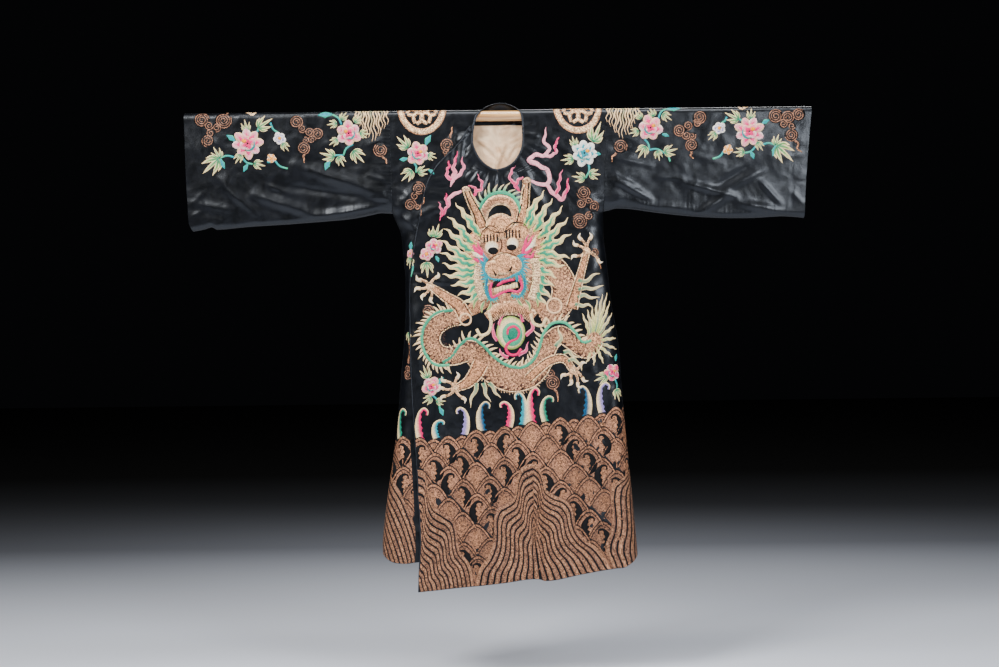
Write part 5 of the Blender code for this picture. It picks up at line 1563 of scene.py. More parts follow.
BROW_LINES = [
    [(-5.4, 36.2), (-4.6, 33.4), (-2.6, 31.8), (-0.4, 32.6), (0.4, 35.0)],
    [(1.6, 35.4), (2.2, 32.6), (4.6, 30.8), (7.4, 31.4), (8.6, 33.8)],
    [(-3.6, 42.0), (-1.2, 40.4), (1.4, 39.6), (3.6, 39.8), (5.4, 40.8)],
    [(0.6, 35.4), (0.9, 37.4), (0.4, 39.2)],
    [(-4.0, 31.6), (-1.8, 33.2), (0.6, 33.8), (3.2, 32.6), (4.8, 30.8)],
]


def heading(turn):
    return np.array([math.cos(turn), math.sin(turn)])


head_gold = new_stitching()
head_silk = new_stitching()
head_black = new_stitching()
band(head_gold, [(-5.4, 43.0), (-2.0, 37.0), (1.6, 35.6), (5.6, 36.4), (10.2, 41.4)],
     [11.0, 13.0, 13.0, 13.0, 10.0], "gold_bright", high=0.20, long=16, wide=6)
disc(head_gold, MANE_MIDDLE, 19.0, 19.4, "gold_bright", "gold", 0.20, 0.10, around=30, rings=6)
disc(head_gold, (2.6, 50.2), 13.8, 12.6, "gold_bright", "gold", 0.21, 0.04, around=24, rings=4)
for k in range(HEAD_RAYS):
    turn = 2.0 * math.pi * (k + 0.3 * math.sin(2.9 * k)) / HEAD_RAYS
    way = heading(turn)
    foot = np.array(MANE_MIDDLE) + way * 8.2
    reach = 2.6 + 0.7 * math.sin(5.3 * k)
    band(head_gold, [foot, foot + way * reach * 0.6, foot + way * reach], [0.5, 0.5, 0.06],
         "gold_bright" if k % 2 else "gold_pale", "gold_pale", high=0.34, long=6)
band(head_gold, CREST_ARCH, [2.6, 2.9, 2.6], "gold", "gold_bright", "gold_pale", high=0.20,
     long=26, wide=4)
spikes(head_gold, CREST_ARCH, 1, 26, 1.1, 0.16, 0.0, "gold_dark", "gold_dark", 0.26)
disc(head_gold, (0.5, 32.0), 8.4, 7.6, "gold_light", "gold_bright", 0.26, 0.14, "gold_pale", around=26)
for horn in (HORN_LEFT, HORN_RIGHT):
    band(head_gold, horn, [4.0, 3.2, 2.6, 2.2], "gold_pale", high=0.28, long=18, wide=2)
    band(head_black, horn, [3.4, 2.5, 1.9, 1.5], "black", high=0.34, long=18, wide=2)
    band(head_gold, horn, [2.6, 1.8, 1.2, 0.9], "gold_bright", "gold_light", high=0.40, long=18, wide=2)
    band(head_black, horn, [0.24, 0.2], "black", high=0.44, long=14)
    disc(head_gold, horn[-1], 2.2, 1.6, "gold", "gold_pale", 0.36, 0.05, "gold_pale", around=14, rings=2)
band(head_silk, CREST_RIM, [0.7, 1.0, 0.7], "teal", "mint", "mint", high=0.24, long=26, wide=3)
spikes(head_silk, CREST_RIM, 1, 17, 2.9, 0.8, 1.6, "mint", "gold_pale", 0.22)
for centre in ((-2.5, 34.2), (6.0, 33.6)):
    disc(head_gold, centre, 7.4, 5.4, "gold_light", "gold_bright", 0.30, 0.08, "gold_pale", around=20,
         rings=3)
for centre in ((-4.4, 44.6), (8.6, 43.6)):
    disc(head_gold, centre, 5.6, 6.0, "gold_light", "gold", 0.30, 0.12, "gold_pale", around=18, rings=3)
for line in BROW_LINES:
    band(head_black, line, [0.12, 0.30, 0.12], "black", high=0.62, long=20)
for centre, wide, tall in (((-2.0, 38.0), 4.0, 4.0), ((4.0, 37.0), 3.5, 3.7)):
    disc(head_silk, centre, wide, tall, "white", "cream", 0.42, 0.01, "gold_pale", around=18, rings=3)
for centre, wide, tall in (((-1.6, 38.9), 3.0, 2.1), ((3.7, 38.0), 2.8, 1.8)):
    disc(head_black, centre, wide, tall, "black", "black", 0.47, 0.01, around=16, rings=2)
for i in range(5):
    for left, top in ((-4.1, 34.2), (2.2, 33.0)):
        a = left + 0.92 * i
        band(head_black, [(a, top), (a + 0.05, top + 2.3)], [0.46, 0.42], "black", high=0.50, long=3)
disc(head_gold, (1.2, 42.6), 6.4, 6.4, "gold_light", "gold_bright", 0.46, 0.14, "gold_pale", around=22)
for centre, wide in (((-1.6, 44.0), 4.8), ((4.4, 42.9), 4.6)):
    disc(head_gold, centre, wide, 4.8, "gold_light", "gold_bright", 0.50, 0.12, "gold_pale", around=18,
         rings=3)
for nostril in ([(-1.6, 44.6), (-0.8, 46.0)], [(3.7, 43.3), (3.1, 44.8)]):
    band(head_black, nostril, [0.35, 0.75], "black", high=0.76, long=4)
disc(head_black, (2.0, 48.9), 8.4, 4.4, "black", "black", 0.36, 0.02, around=20, rings=2)
for line, side, count in ((JAW_LEFT, -1, 14), (JAW_RIGHT, 1, 14)):
    band(head_silk, line, [0.7, 1.0, 0.5], "deep", "turquoise", "turquoise", high=0.40, long=20, wide=3)
    spikes(head_silk, line, side, count, 1.2, 0.5, 0.5, "turquoise", "mint", 0.40)
    spikes(head_silk, line, -side, count, 0.6, 0.4, 0.3, "deep", "turquoise", 0.38)
band(head_silk, FRINGE, [0.3, 0.6, 0.7, 0.5, 0.4, 0.4, 0.5, 0.7, 0.6, 0.3], "turquoise", "turquoise",
     high=0.56, long=40, wide=3)
for hairs in (FRINGE[:4], FRINGE[6:]):
    spikes(head_silk, hairs, 1, 13, 2.5, 0.6, 0.8, "turquoise", "turquoise", 0.54)
spikes(head_silk, FRINGE[3:7], 1, 12, 0.7, 0.5, 0.3, "turquoise", "turquoise", 0.54)
band(head_silk, LIP, [0.7, 0.75, 0.7], "pink", "pink", "rose", high=0.52, long=40, wide=3)
band(head_silk, [(-0.6, 48.9), (1.6, 47.6), (4.4, 47.2)], [0.6, 1.1, 0.6], "pink", "pink", high=0.50, long=10,
     wide=3)
band(head_silk, [(-1.4, 50.3), (1.6, 49.5), (5.3, 48.7)], [1.9, 1.7, 2.1], "cream", "cream", "gold_light",
     high=0.46, long=14, wide=3)
for i in range(7):
    band(head_gold, [(-0.9 + 0.92 * i, 49.1 - 0.2 * i), (-0.9 + 0.92 * i, 51.1 - 0.2 * i)], [0.20, 0.20],
         "gold", high=0.56, long=3)
for path in (BAND_LEFT, BAND_RIGHT):
    band(head_gold, path, [2.7, 2.6, 2.5], "gold_pale", "gold_pale", "cream", high=0.52, long=24, wide=3)
    for side in (1, -1):
        spikes(head_gold, path, side, 15, 1.25, 0.3, 0.0, "gold", "gold_bright", 0.59)
for fill in JAW_FILLS:
    band(head_gold, fill, [2.6, 4.2, 4.4, 3.0], "gold_bright", "gold", high=0.24, long=10, wide=4)
for tuft in JAW_TUFTS:
    band(head_silk, tuft, [0.3, 1.0, 0.8, 0.1], "teal", "leaf", "cream", high=0.42, long=9, wide=3)
band(head_gold, CHIN_LINE, [3.4, 4.4, 4.6, 4.4, 3.4], "gold_bright", "gold_bright", "gold_pale", high=0.28,
     long=20, wide=4)
spikes(head_gold, CHIN_LINE, -1, 26, 2.9, 0.26, 0.1, "gold_dark", "gold_dark", 0.36)
for flame in BROW_FLAMES:
    band(head_silk, flame, [1.1, 0.95, 0.1], "pink", "pink", "rose", high=0.44, long=9, wave=(0.18, 1.6))
for tusk in ([(7.6, 39.0), (9.4, 37.6), (10.8, 34.6)], [(-4.2, 40.8), (-6.4, 40.0), (-8.0, 38.8)]):
    band(head_silk, tusk, [0.4, 1.4, 0.1], "white", "cream", high=0.47, long=10, wide=3)
sew_on(head_gold, "dragon_head_gold", on_front, "gold_thread", gold_thread)
sew_on(head_silk, "dragon_head_silk", on_front, "silk_floss", silk_floss)
sew_on(head_black, "dragon_head_black", on_front, "silk_floss", black_thread)


# Pearl: a padded silk disc in rings, with a pink spiral and small pink flames;
# ribbed cream cords curl on both sides of it.
PEARL = (3.2, 62.4)
PEARL_SPIRAL = [
    (2.2, 62.9), (2.5, 61.2), (4.2, 60.6), (5.5, 61.9), (5.0, 63.9), (3.0, 64.9), (1.7, 66.5), (2.6, 68.4),
    (4.7, 68.6), (6.1, 67.0),
]
PEARL_FLAMES = [
    [(-0.6, 64.6), (-1.9, 62.4), (-1.5, 59.6)], [(7.4, 63.2), (9.3, 61.4), (8.6, 58.0)],
    [(0.1, 60.4), (0.2, 58.8), (1.4, 57.2)], [(6.6, 59.4), (6.2, 57.8), (4.9, 56.4)],
    [(2.4, 69.4), (0.6, 68.6), (0.0, 66.8)], [(5.2, 68.8), (7.2, 67.6), (8.2, 65.0)],
]
CORDS = [
    [(-3.0, 56.6), (-2.4, 59.4), (-3.4, 62.4), (-5.4, 63.0), (-6.6, 61.2)],
    [(8.9, 57.0), (9.8, 59.8), (12.0, 60.4), (13.4, 58.2)],
]
CORD_RINGS = [((-9.7, 58.4), 1.6), ((15.7, 54.8), 2.1)]


def ring_path(centre, across, down, count):
    """Points once round an upright oval, the last on the first."""
    turns = [k * 2.0 * math.pi / count for k in range(count + 1)]
    return [(centre[0] + across * math.cos(turn), centre[1] + down * math.sin(turn)) for turn in turns]


def swirl_path(centre, radius, turns, hand, start):
    """A spiral from its rim in to its middle."""
    points = []
    for i in range(int(turns * 8) + 1):
        reach = radius * (1.0 - i / (turns * 8) * 0.88)
        points.append(np.array(centre) + reach * heading(start + hand * 2.0 * math.pi * i / 8))
    return points


pearl = new_stitching()
disc(pearl, PEARL, 8.3, 9.6, "cream", "cream", 0.20, 0.10, "leaf", around=28)
disc(pearl, (3.6, 62.8), 5.8, 6.8, "teal", "mint", 0.30, 0.06, around=24)
disc(pearl, (3.8, 62.9), 3.2, 3.8, "teal", "teal", 0.36, 0.03, around=18, rings=2)
band(pearl, PEARL_SPIRAL, [0.75, 0.8, 0.75], "pink", high=0.44, long=40, wide=3)
for flame in PEARL_FLAMES:
    band(pearl, flame, [1.1, 1.0, 0.1], "pink", "rose", "blush", high=0.24, long=12, wide=3,
         wave=(0.15, 1.5))
sew_on(pearl, "dragon_pearl", on_front, "silk_floss", silk_floss)

cord_silk = new_stitching()
for path in CORDS:
    band(cord_silk, path, [0.9, 0.9], "cream", high=0.42, long=30)
    spikes(cord_silk, path, 1, 18, 0.4, 0.16, 0.1, "gold", "gold", 0.46)
for centre, radius in CORD_RINGS:
    band(cord_silk, ring_path(centre, radius, radius, 12), [0.55, 0.55], "gold_pale", high=0.46, long=30)
sew_on(cord_silk, "dragon_cords", on_front, "silk_floss", silk_floss)


# Clouds: couched gold thread wound in spirals over low black pads, in groups
# of lobes, some with a tail.
Lobe = namedtuple("Lobe", "a down radius hand")
FRONT_CLOUDS = [Lobe(*row) for row in [
    (-22.7, 20.8, 2.05, 1), (-23.8, 23.0, 1.25, -1), (-25.1, 25.5, 1.85, -1), (-23.2, 26.2, 1.0, 1),
    (-14.4, 8.4, 2.2, 1), (-14.9, 10.5, 1.2, -1), (24.5, 22.5, 2.15, -1), (23.7, 25.6, 1.45, 1),
    (27.5, 26.6, 1.8, 1), (25.8, 25.0, 1.1, -1), (23.2, 30.8, 2.4, 1), (26.0, 29.2, 1.3, -1),
    (-20.4, 56.0, 1.9, 1), (27.4, 39.8, 1.4, 1), (14.9, 76.8, 2.3, 1), (14.4, 74.1, 1.2, -1),
    (-26.6, 74.2, 1.6, 1), (-26.8, 72.2, 1.0, -1),
]]
FRONT_TAILS = [
    [(-13.6, 6.4), (-13.2, 4.6), (-12.8, 3.2)], [(-22.4, 26.2), (-21.4, 24.6), (-21.0, 23.4)],
    [(-22.4, 26.0), (-22.0, 27.6), (-22.4, 28.8)], [(15.4, 78.6), (16.4, 80.2), (16.2, 82.2)],
    [(-26.4, 70.8), (-26.0, 67.6), (-26.0, 64.4)], [(28.2, 41.0), (28.8, 42.4), (29.2, 44.4)],
]


def cloud(bm, lobes, tails):
    for a, down, radius, hand in lobes:
        disc(bm, (a, down), 2.0 * radius, 1.9 * radius, "black", "black", 0.05, 0.02, around=18, rings=2)
        wound = swirl_path((a, down), radius * 0.94, max(1.5, radius * 1.36), hand, a + down)
        band(bm, wound, [0.27, 0.26], "gold", high=0.13, long=len(wound) * 2)
    for path in tails:
        band(bm, path, [0.7, 0.5, 0.2], "gold", "gold_bright", high=0.12, long=12, wave=(0.14, 1.4))


clouds = new_stitching()
cloud(clouds, FRONT_CLOUDS, FRONT_TAILS)
sew_on(clouds, "clouds_front", on_front, "gold_thread", gold_thread)


# Flames: forked tongues of pink silk round the horns, and one long pale tongue
# that winds up beside the neck.
FLAME_SHARE = 0.82
Tongue = namedtuple("Tongue", "path widths root tip")
FRONT_FLAMES = [
    Tongue([(-13.6, 20.5), (-12.9, 18.4), (-12.4, 16.6), (-12.6, 14.7), (-12.0, 12.5), (-11.3, 10.3)],
           [0.2, 1.5, 1.7, 1.2, 0.8, 0.1], "blush", "pink"),
    Tongue([(-12.8, 18.2), (-14.0, 18.0), (-14.5, 15.9), (-13.9, 14.6), (-14.0, 13.0)],
           [1.3, 1.4, 1.0, 0.8, 0.1], "rose", "pink"),
    Tongue([(-12.6, 18.2), (-11.3, 17.2), (-10.0, 15.7), (-10.4, 11.9)], [1.3, 1.2, 1.1, 0.1], "blush",
           "rose"),
    Tongue([(-10.4, 21.7), (-12.4, 22.6), (-13.6, 23.2), (-14.3, 25.6), (-15.6, 27.9), (-16.9, 30.1)],
           [0.8, 1.4, 1.3, 1.1, 0.9, 0.1], "blush", "pink"),
    Tongue([(-14.2, 25.8), (-14.9, 24.4), (-14.8, 22.2)], [1.1, 0.9, 0.1], "rose", "pink"),
    Tongue([(-16.2, 28.6), (-16.3, 26.9), (-17.0, 24.8)], [1.0, 0.9, 0.1], "pink", "rose"),
    Tongue([(-8.6, 20.2), (-7.2, 20.4), (-6.3, 21.8), (-7.0, 23.6)], [0.4, 1.0, 1.0, 0.1], "pink", "pink"),
    Tongue([(-6.6, 22.0), (-4.6, 21.0), (-4.8, 19.2), (-6.0, 17.0)], [1.2, 1.1, 0.9, 0.1], "pink", "rose"),
    Tongue([(7.3, 17.9), (5.7, 18.9), (5.1, 20.2), (6.3, 22.4)], [0.5, 1.1, 1.2, 0.1], "rose", "pink"),
    Tongue([(5.4, 20.0), (3.8, 18.9), (3.6, 17.0), (5.0, 14.5)], [1.2, 1.1, 0.9, 0.1], "pink", "rose"),
    Tongue([(8.8, 18.8), (11.4, 19.8), (13.7, 20.1), (14.9, 18.1), (13.5, 15.5), (10.9, 14.2), (9.1, 12.8),
            (10.1, 11.8), (13.0, 11.7), (14.9, 10.2), (13.5, 7.9), (14.1, 3.6)],
           [0.8, 1.2, 1.4, 1.5, 1.6, 1.6, 1.5, 1.4, 1.3, 1.2, 1.0, 0.1], "blush", "blush"),
    Tongue([(13.2, 11.8), (15.0, 11.9), (16.6, 11.0), (16.5, 9.2), (17.6, 6.5)], [1.0, 1.2, 1.1, 0.8, 0.1],
           "blush", "pink"),
    Tongue([(13.8, 19.8), (15.8, 22.6), (18.2, 24.2), (19.5, 22.3), (20.1, 18.3)], [1.2, 1.5, 1.5, 1.2, 0.1],
           "blush", "pink"),
    Tongue([(16.4, 23.0), (17.2, 21.4), (17.5, 19.4), (18.4, 15.8)], [1.2, 1.2, 0.9, 0.1], "pink", "rose"),
]

flames = new_stitching()
for path, widths, root, tip in FRONT_FLAMES:
    count = len(path)
    band(flames, path, [FLAME_SHARE * width for width in widths], root, tip, "blush", high=0.12,
         long=7 * count, wide=4, wave=(0.20, count * 0.7))
    if tip == "pink":
        band(flames, path[count // 2:], [0.1, 0.60, 0.45, 0.08], "rose", "pink", high=0.17, long=5 * count,
             wave=(0.12, count * 0.35))
sew_on(flames, "flames_front", on_front, "silk_floss", silk_floss)


# Flowers: peonies in shaded silk with a light edge to each petal, on short
# stems with lobed leaves and buds.
Bloom = namedtuple("Bloom", "a down radius inner outer turn count")
PETAL_FORM = (0.35, 0.62, 0.88, 1.0, 0.96, 0.76, 0.30)
PETAL_WIDE = 4.5
LEAF_WIDE = 0.195
LEAF_LOBES = ((1.05, 0.40), (-1.05, 0.40), (0.52, 0.72), (-0.52, 0.72), (0.0, 1.0))
SMALL_BLOOM = 2.2
FRONT_BLOOMS = [Bloom(*row) for row in [
    (-22.8, 10.8, 3.5, "pink", "blush", 0.3, 6), (24.9, 11.2, 4.0, "turquoise", "white", 0.1, 7),
    (-18.4, 37.4, 2.5, "pink", "blush", 0.8, 5), (-20.6, 39.6, 2.1, "pink", "blush", 0.1, 5),
    (-19.6, 77.4, 2.9, "pink", "blush", 0.2, 5), (32.2, 74.0, 2.7, "pink", "rose", 0.5, 5),
    (-25.4, 39.4, 1.3, "pink", "blush", 0.0, 5),
]]

# Each sprig is a leaf, a bud or a stem, from its root to its tip
FRONT_SPRAYS = [
    ("leaf", (-25.6, 9.0), (-29.0, 5.8)), ("bud", (-20.6, 8.4), (-19.0, 5.5)),
    ("leaf", (-20.0, 11.2), (-17.4, 12.2)), ("bud", (-25.8, 12.1), (-28.2, 12.4)),
    ("stem", (-24.2, 13.0), (-23.4, 16.2)), ("leaf", (-24.6, 15.6), (-27.6, 18.6)),
    ("leaf", (-22.8, 16.2), (-19.6, 15.2)), ("bud", (-19.8, 15.4), (-18.2, 16.8)),
    ("leaf", (27.4, 7.9), (30.0, 2.2)), ("leaf", (22.2, 9.0), (21.4, 6.2)),
    ("leaf", (21.6, 12.8), (18.0, 13.2)), ("bud", (28.0, 11.4), (29.9, 11.6)),
    ("stem", (26.0, 14.0), (25.0, 18.4)), ("leaf", (24.8, 18.4), (21.2, 17.8)),
    ("leaf", (26.2, 17.2), (29.8, 17.4)), ("leaf", (-18.0, 34.8), (-17.0, 31.0)),
    ("bud", (-18.0, 40.2), (-17.2, 42.0)), ("leaf", (-20.6, 42.0), (-20.4, 46.4)),
    ("leaf", (-19.2, 34.6), (-18.6, 31.8)), ("leaf", (-20.6, 75.0), (-21.9, 71.4)),
    ("bud", (-17.6, 76.8), (-16.2, 74.8)), ("stem", (-19.8, 79.6), (-17.2, 83.8)),
    ("leaf", (-19.6, 80.6), (-22.2, 82.2)), ("leaf", (-18.2, 81.8), (-15.6, 81.6)),
    ("bud", (-17.4, 83.4), (-16.4, 85.8)), ("leaf", (30.4, 75.0), (26.8, 76.4)),
    ("stem", (33.0, 76.0), (33.4, 79.4)), ("leaf", (33.4, 78.8), (34.4, 82.4)),
    ("bud", (33.4, 70.8), (33.9, 68.8)), ("bud", (-25.2, 38.4), (-25.0, 36.0)),
    ("leaf", (-25.4, 40.6), (-25.8, 43.8)), ("stem", (-25.4, 40.4), (-25.2, 46.0)),
    ("leaf", (-26.2, 62.0), (-26.4, 65.0)),
]


def sprig(bm, kind, root, tip):
    """A lobed leaf, a bud or a stem from its root to its tip."""
    root, tip = np.array(root, float), np.array(tip, float)
    way = tip - root
    across = np.array([way[1], -way[0]])
    reach = float(np.hypot(*way))
    if kind == "stem":
        band(bm, [root, root + way * 0.5 + across * 0.14, tip], [0.55, 0.5], "turquoise", "mint", high=0.08,
             long=10)
    elif kind == "bud":
        band(bm, [root, root + way * 0.5 + across * 0.05, tip], [0.4, reach * 0.55, 0.1], "turquoise",
             "turquoise", "mint", high=0.13, long=10, wide=4)
    else:
        half = reach * LEAF_WIDE
        for lean, share in LEAF_LOBES:
            end = root + way * share + across * lean * share
            bow = root + (end - root) * 0.5 + across * lean * 0.10
            vein = root + (end - root) * 0.8
            band(bm, [root, bow, end], [0.3, half, half * 0.8, 0.1], "mint", "cream", "cream",
                 high=0.13 if lean else 0.16, long=9, wide=4)
            band(bm, [root, bow, vein], [0.25, half * 0.42, half * 0.34, 0.08], "teal", "leaf",
                 high=0.18 if lean else 0.20, long=6)


def bloom(bm, row):
    """A peony from above: outer petals, inner petals, a yellow heart and a teal crescent."""
    middle = np.array([row.a, row.down])
    light = row.inner == "pink"
    for ring, count, reach, high in ((0, row.count, 1.0, 0.12), (1, 4, 0.58, 0.24)):
        for i in range(count):
            turn = row.turn + 1.9 * ring + 2.0 * math.pi * i / count
            way = heading(turn) * row.radius * reach * (0.95 + 0.07 * math.sin(3.7 * i))
            half = PETAL_WIDE * row.radius * reach / max(count, 5)
            band(bm, [middle + way * 0.10, middle + way * 0.55, middle + way],
                 [half * part for part in PETAL_FORM],
                 row.inner, row.outer, "white" if not light or i % 3 == 0 else "cream", high=high + 0.012 * i,
                 long=12, wide=4)
            band(bm, [middle + way * 0.14, middle + way * 0.45, middle + way * 0.72],
                 [half * 0.45, half * 0.66, half * 0.50, 0.08], row.inner, "rose" if light else row.inner,
                 high=high + 0.04 + 0.012 * i, long=6)
    if row.radius < SMALL_BLOOM:
        disc(bm, middle, row.radius * 0.5, row.radius * 0.5, "yellow", "yellow", 0.30, 0.05, around=10,
             rings=2)
        return
    disc(bm, middle + (0.22 * row.radius, -0.16 * row.radius), row.radius * 0.30, row.radius * 0.25, "yellow",
         "yellow", 0.34, 0.05, around=12, rings=2)
    bow = [middle + heading(turn) * row.radius * 0.44 for turn in (1.2, 2.0, 2.8, 3.5)]
    band(bm, bow, [0.2, row.radius * 0.15, 0.2], "teal", "turquoise", high=0.36, long=12)


flowers = new_stitching()
for row in FRONT_SPRAYS:
    sprig(flowers, *row)
for row in FRONT_BLOOMS:
    bloom(flowers, row)
sew_on(flowers, "flowers_front", on_front, "silk_floss", silk_floss)


# Roundels: one over each shoulder ridge, half on the front and half on the
# back; a plain ring of pale gold round an open rosette.
ROUNDELS = [(-21.6, -2.9), (23.2, -2.8)]
ROUNDEL_ACROSS = 6.2
ROUNDEL_DOWN = 7.4
ROSETTE_PETALS = 8

roundels = new_stitching()
for middle in ROUNDELS:
    band(roundels, ring_path(middle, ROUNDEL_ACROSS, ROUNDEL_DOWN, 24), [1.9, 1.9], "gold_pale", "gold_pale",
         "gold_bright", high=0.12, long=72, wide=3)
    for k in range(ROSETTE_PETALS):
        turn = (k + 0.5) * 2.0 * math.pi / ROSETTE_PETALS
        way = heading(turn) * (ROUNDEL_ACROSS, ROUNDEL_DOWN)
        for lean in (-1.0, 1.0):
            side = np.array([-math.sin(turn), math.cos(turn)]) * lean
            petal = [middle + way * 0.22, middle + way * 0.48 + side * 1.35,
                     middle + way * 0.74 + side * 0.25]
            band(roundels, petal, [1.0, 1.15, 1.0], "gold_pale", "gold_pale", "gold_light", high=0.12,
                 long=14)
    disc(roundels, middle, 2.4, 2.8, "gold_pale", "gold_light", 0.12, 0.05, around=18, rings=2)
sew_on(roundels, "roundels", on_front, "gold_thread", gold_thread)


# Embroidery of the sleeves: on both, a peony spray near the cuff, a chain of
# clouds, a second peony and a fan of feather strips near the armhole.
RIGHT_BLOOMS = [Bloom(*row) for row in [
    (71.6, 7.3, 4.6, "pink", "blush", 0.1, 8), (42.6, 4.7, 3.8, "pink", "blush", 0.6, 6),
    (62.4, 5.9, 1.9, "lilac", "white", 0.2, 5), (64.8, 11.6, 1.4, "yellow", "yellow", 0.4, 5),
]]
LEFT_BLOOMS = [Bloom(*row) for row in [
    (72.2, 5.5, 4.5, "pink", "blush", 0.4, 8), (43.9, 4.1, 3.8, "pink", "blush", 0.2, 6),
    (63.6, 4.4, 1.9, "lilac", "white", 0.6, 5), (66.0, 10.6, 1.5, "yellow", "yellow", 0.1, 5),
]]
RIGHT_LOBES = [Lobe(*row) for row in [
    (84.6, 0.4, 2.3, 1), (82.6, 2.0, 1.4, -1), (78.4, 0.6, 2.5, -1), (80.4, 2.6, 1.4, 1),
    (82.2, 4.2, 1.2, 1), (83.0, 6.4, 1.9, -1), (57.6, 1.3, 2.0, 1), (55.9, 3.2, 1.3, -1),
    (53.9, 4.3, 1.5, 1), (51.5, 4.8, 1.8, -1), (53.2, 6.4, 1.3, 1), (55.0, 6.6, 1.1, -1),
    (55.6, 8.8, 2.0, 1), (33.5, 9.6, 2.2, 1),
]]
LEFT_LOBES = [Lobe(*row) for row in [
    (83.4, 1.6, 2.0, 1), (79.8, 1.2, 2.2, -1), (86.4, 0.8, 1.9, -1), (82.0, 3.4, 1.4, 1),
    (84.4, 4.0, 1.1, 1), (84.2, 6.6, 2.0, -1), (58.0, 1.2, 2.1, -1), (57.2, 3.0, 1.3, 1),
    (54.6, 3.6, 1.4, -1), (52.2, 4.9, 1.9, 1), (54.2, 6.4, 1.4, -1), (55.8, 6.6, 1.2, 1),
    (55.6, 9.2, 1.9, 1), (35.2, 9.4, 2.1, -1),
]]
RIGHT_TAILS = [
    [(77.4, -1.4), (77.6, -2.6), (76.8, -4.0)], [(55.4, 10.6), (55.6, 12.0), (55.2, 13.0)],
    [(33.0, 11.4), (32.0, 12.6), (31.6, 13.6)],
]
LEFT_TAILS = [
    [(85.2, 8.2), (86.2, 9.4), (86.0, 10.6), (87.2, 11.8)], [(55.6, 11.0), (55.4, 12.2), (56.0, 13.2)],
    [(34.0, 11.2), (32.8, 12.6), (32.6, 13.8)],
]
RIGHT_SPRAYS = [
    ("leaf", (71.8, 3.6), (72.4, 0.4)), ("leaf", (68.6, 2.8), (64.4, 0.2)),
    ("stem", (69.4, 4.4), (68.4, 2.4)), ("stem", (65.0, 1.4), (62.6, 4.4)),
    ("bud", (75.2, 6.6), (77.6, 4.8)), ("leaf", (73.6, 10.4), (75.2, 13.0)),
    ("stem", (75.4, 11.2), (79.6, 11.4)), ("leaf", (79.6, 11.4), (81.4, 8.2)),
    ("leaf", (80.0, 11.6), (84.6, 15.8)), ("bud", (79.4, 11.6), (78.2, 14.4)),
    ("stem", (73.0, 11.6), (70.2, 13.2)), ("bud", (71.6, 13.2), (72.8, 15.4)),
    ("leaf", (69.8, 13.0), (66.6, 13.8)), ("stem", (66.0, 12.6), (64.8, 12.4)),
    ("stem", (64.0, 12.0), (60.2, 14.6)), ("leaf", (61.6, 7.4), (59.8, 9.6)),
    ("leaf", (46.0, 1.8), (48.8, 2.2)), ("leaf", (44.6, 0.8), (43.2, -1.6)),
    ("stem", (44.6, 2.2), (47.2, -0.8)), ("bud", (47.2, -0.8), (51.4, -0.6)),
    ("leaf", (40.8, 1.6), (38.8, -0.6)), ("leaf", (39.4, 4.8), (36.4, 5.0)),
    ("leaf", (45.8, 6.4), (48.2, 8.0)), ("stem", (41.4, 7.8), (44.2, 11.0)),
    ("stem", (44.2, 11.0), (49.0, 12.4)), ("leaf", (46.8, 11.4), (51.0, 10.2)),
    ("leaf", (45.6, 11.4), (44.0, 14.2)), ("leaf", (41.4, 9.8), (38.2, 13.2)),
    ("bud", (48.0, 12.4), (49.4, 15.2)),
]
LEFT_SPRAYS = [
    ("leaf", (72.6, 1.8), (72.9, -1.2)), ("leaf", (69.2, 2.0), (65.2, 0.0)),
    ("stem", (70.8, 2.4), (69.0, 1.4)), ("stem", (65.8, 1.2), (64.2, 3.0)),
    ("bud", (75.8, 3.4), (78.0, 2.2)), ("leaf", (74.4, 8.6), (76.0, 11.0)),
    ("stem", (75.6, 9.4), (79.6, 9.4)), ("leaf", (79.6, 9.4), (80.6, 6.4)),
    ("leaf", (80.0, 9.6), (84.6, 14.2)), ("bud", (79.6, 9.6), (78.8, 12.6)),
    ("stem", (74.0, 9.8), (70.6, 11.6)), ("bud", (72.4, 11.2), (73.4, 13.4)),
    ("leaf", (70.6, 11.4), (67.4, 11.4)), ("stem", (65.0, 10.8), (61.6, 13.2)),
    ("leaf", (62.6, 5.8), (60.4, 7.8)), ("leaf", (41.2, 1.4), (39.6, -0.8)),
    ("leaf", (44.8, 0.8), (43.8, -1.8)), ("stem", (46.2, 1.4), (48.6, -1.6)),
    ("leaf", (47.4, 0.2), (50.0, 2.0)), ("bud", (48.6, -1.4), (52.6, -1.6)),
    ("leaf", (40.4, 5.0), (37.6, 5.8)), ("bud", (47.2, 6.0), (49.2, 6.6)),
    ("stem", (42.2, 7.4), (43.4, 10.4)), ("leaf", (42.4, 9.4), (40.2, 12.8)),
    ("stem", (43.4, 10.4), (47.6, 11.2)), ("leaf", (45.8, 10.8), (46.4, 13.6)),
    ("leaf", (47.8, 11.2), (51.6, 10.2)), ("stem", (47.6, 11.2), (49.4, 13.8)),
]
FEATHERS = 13
FEATHER_FIRST = 31.4
FEATHER_PITCH = 0.74
FEATHER_TOP = -6.4
FEATHER_LONGEST = 0.45


def on_sleeve(sleeve):
    """Places on a sleeve's outer face by reach and distance down from the rod's top."""
    def point_at(reach, around):
        return sleeve_point(sleeve, reach, around)

    def place_at(reach, down, height):
        return lifted(point_at, reach, down + ARC, -sleeve.hand, height, first=-math.inf)

    return place_at


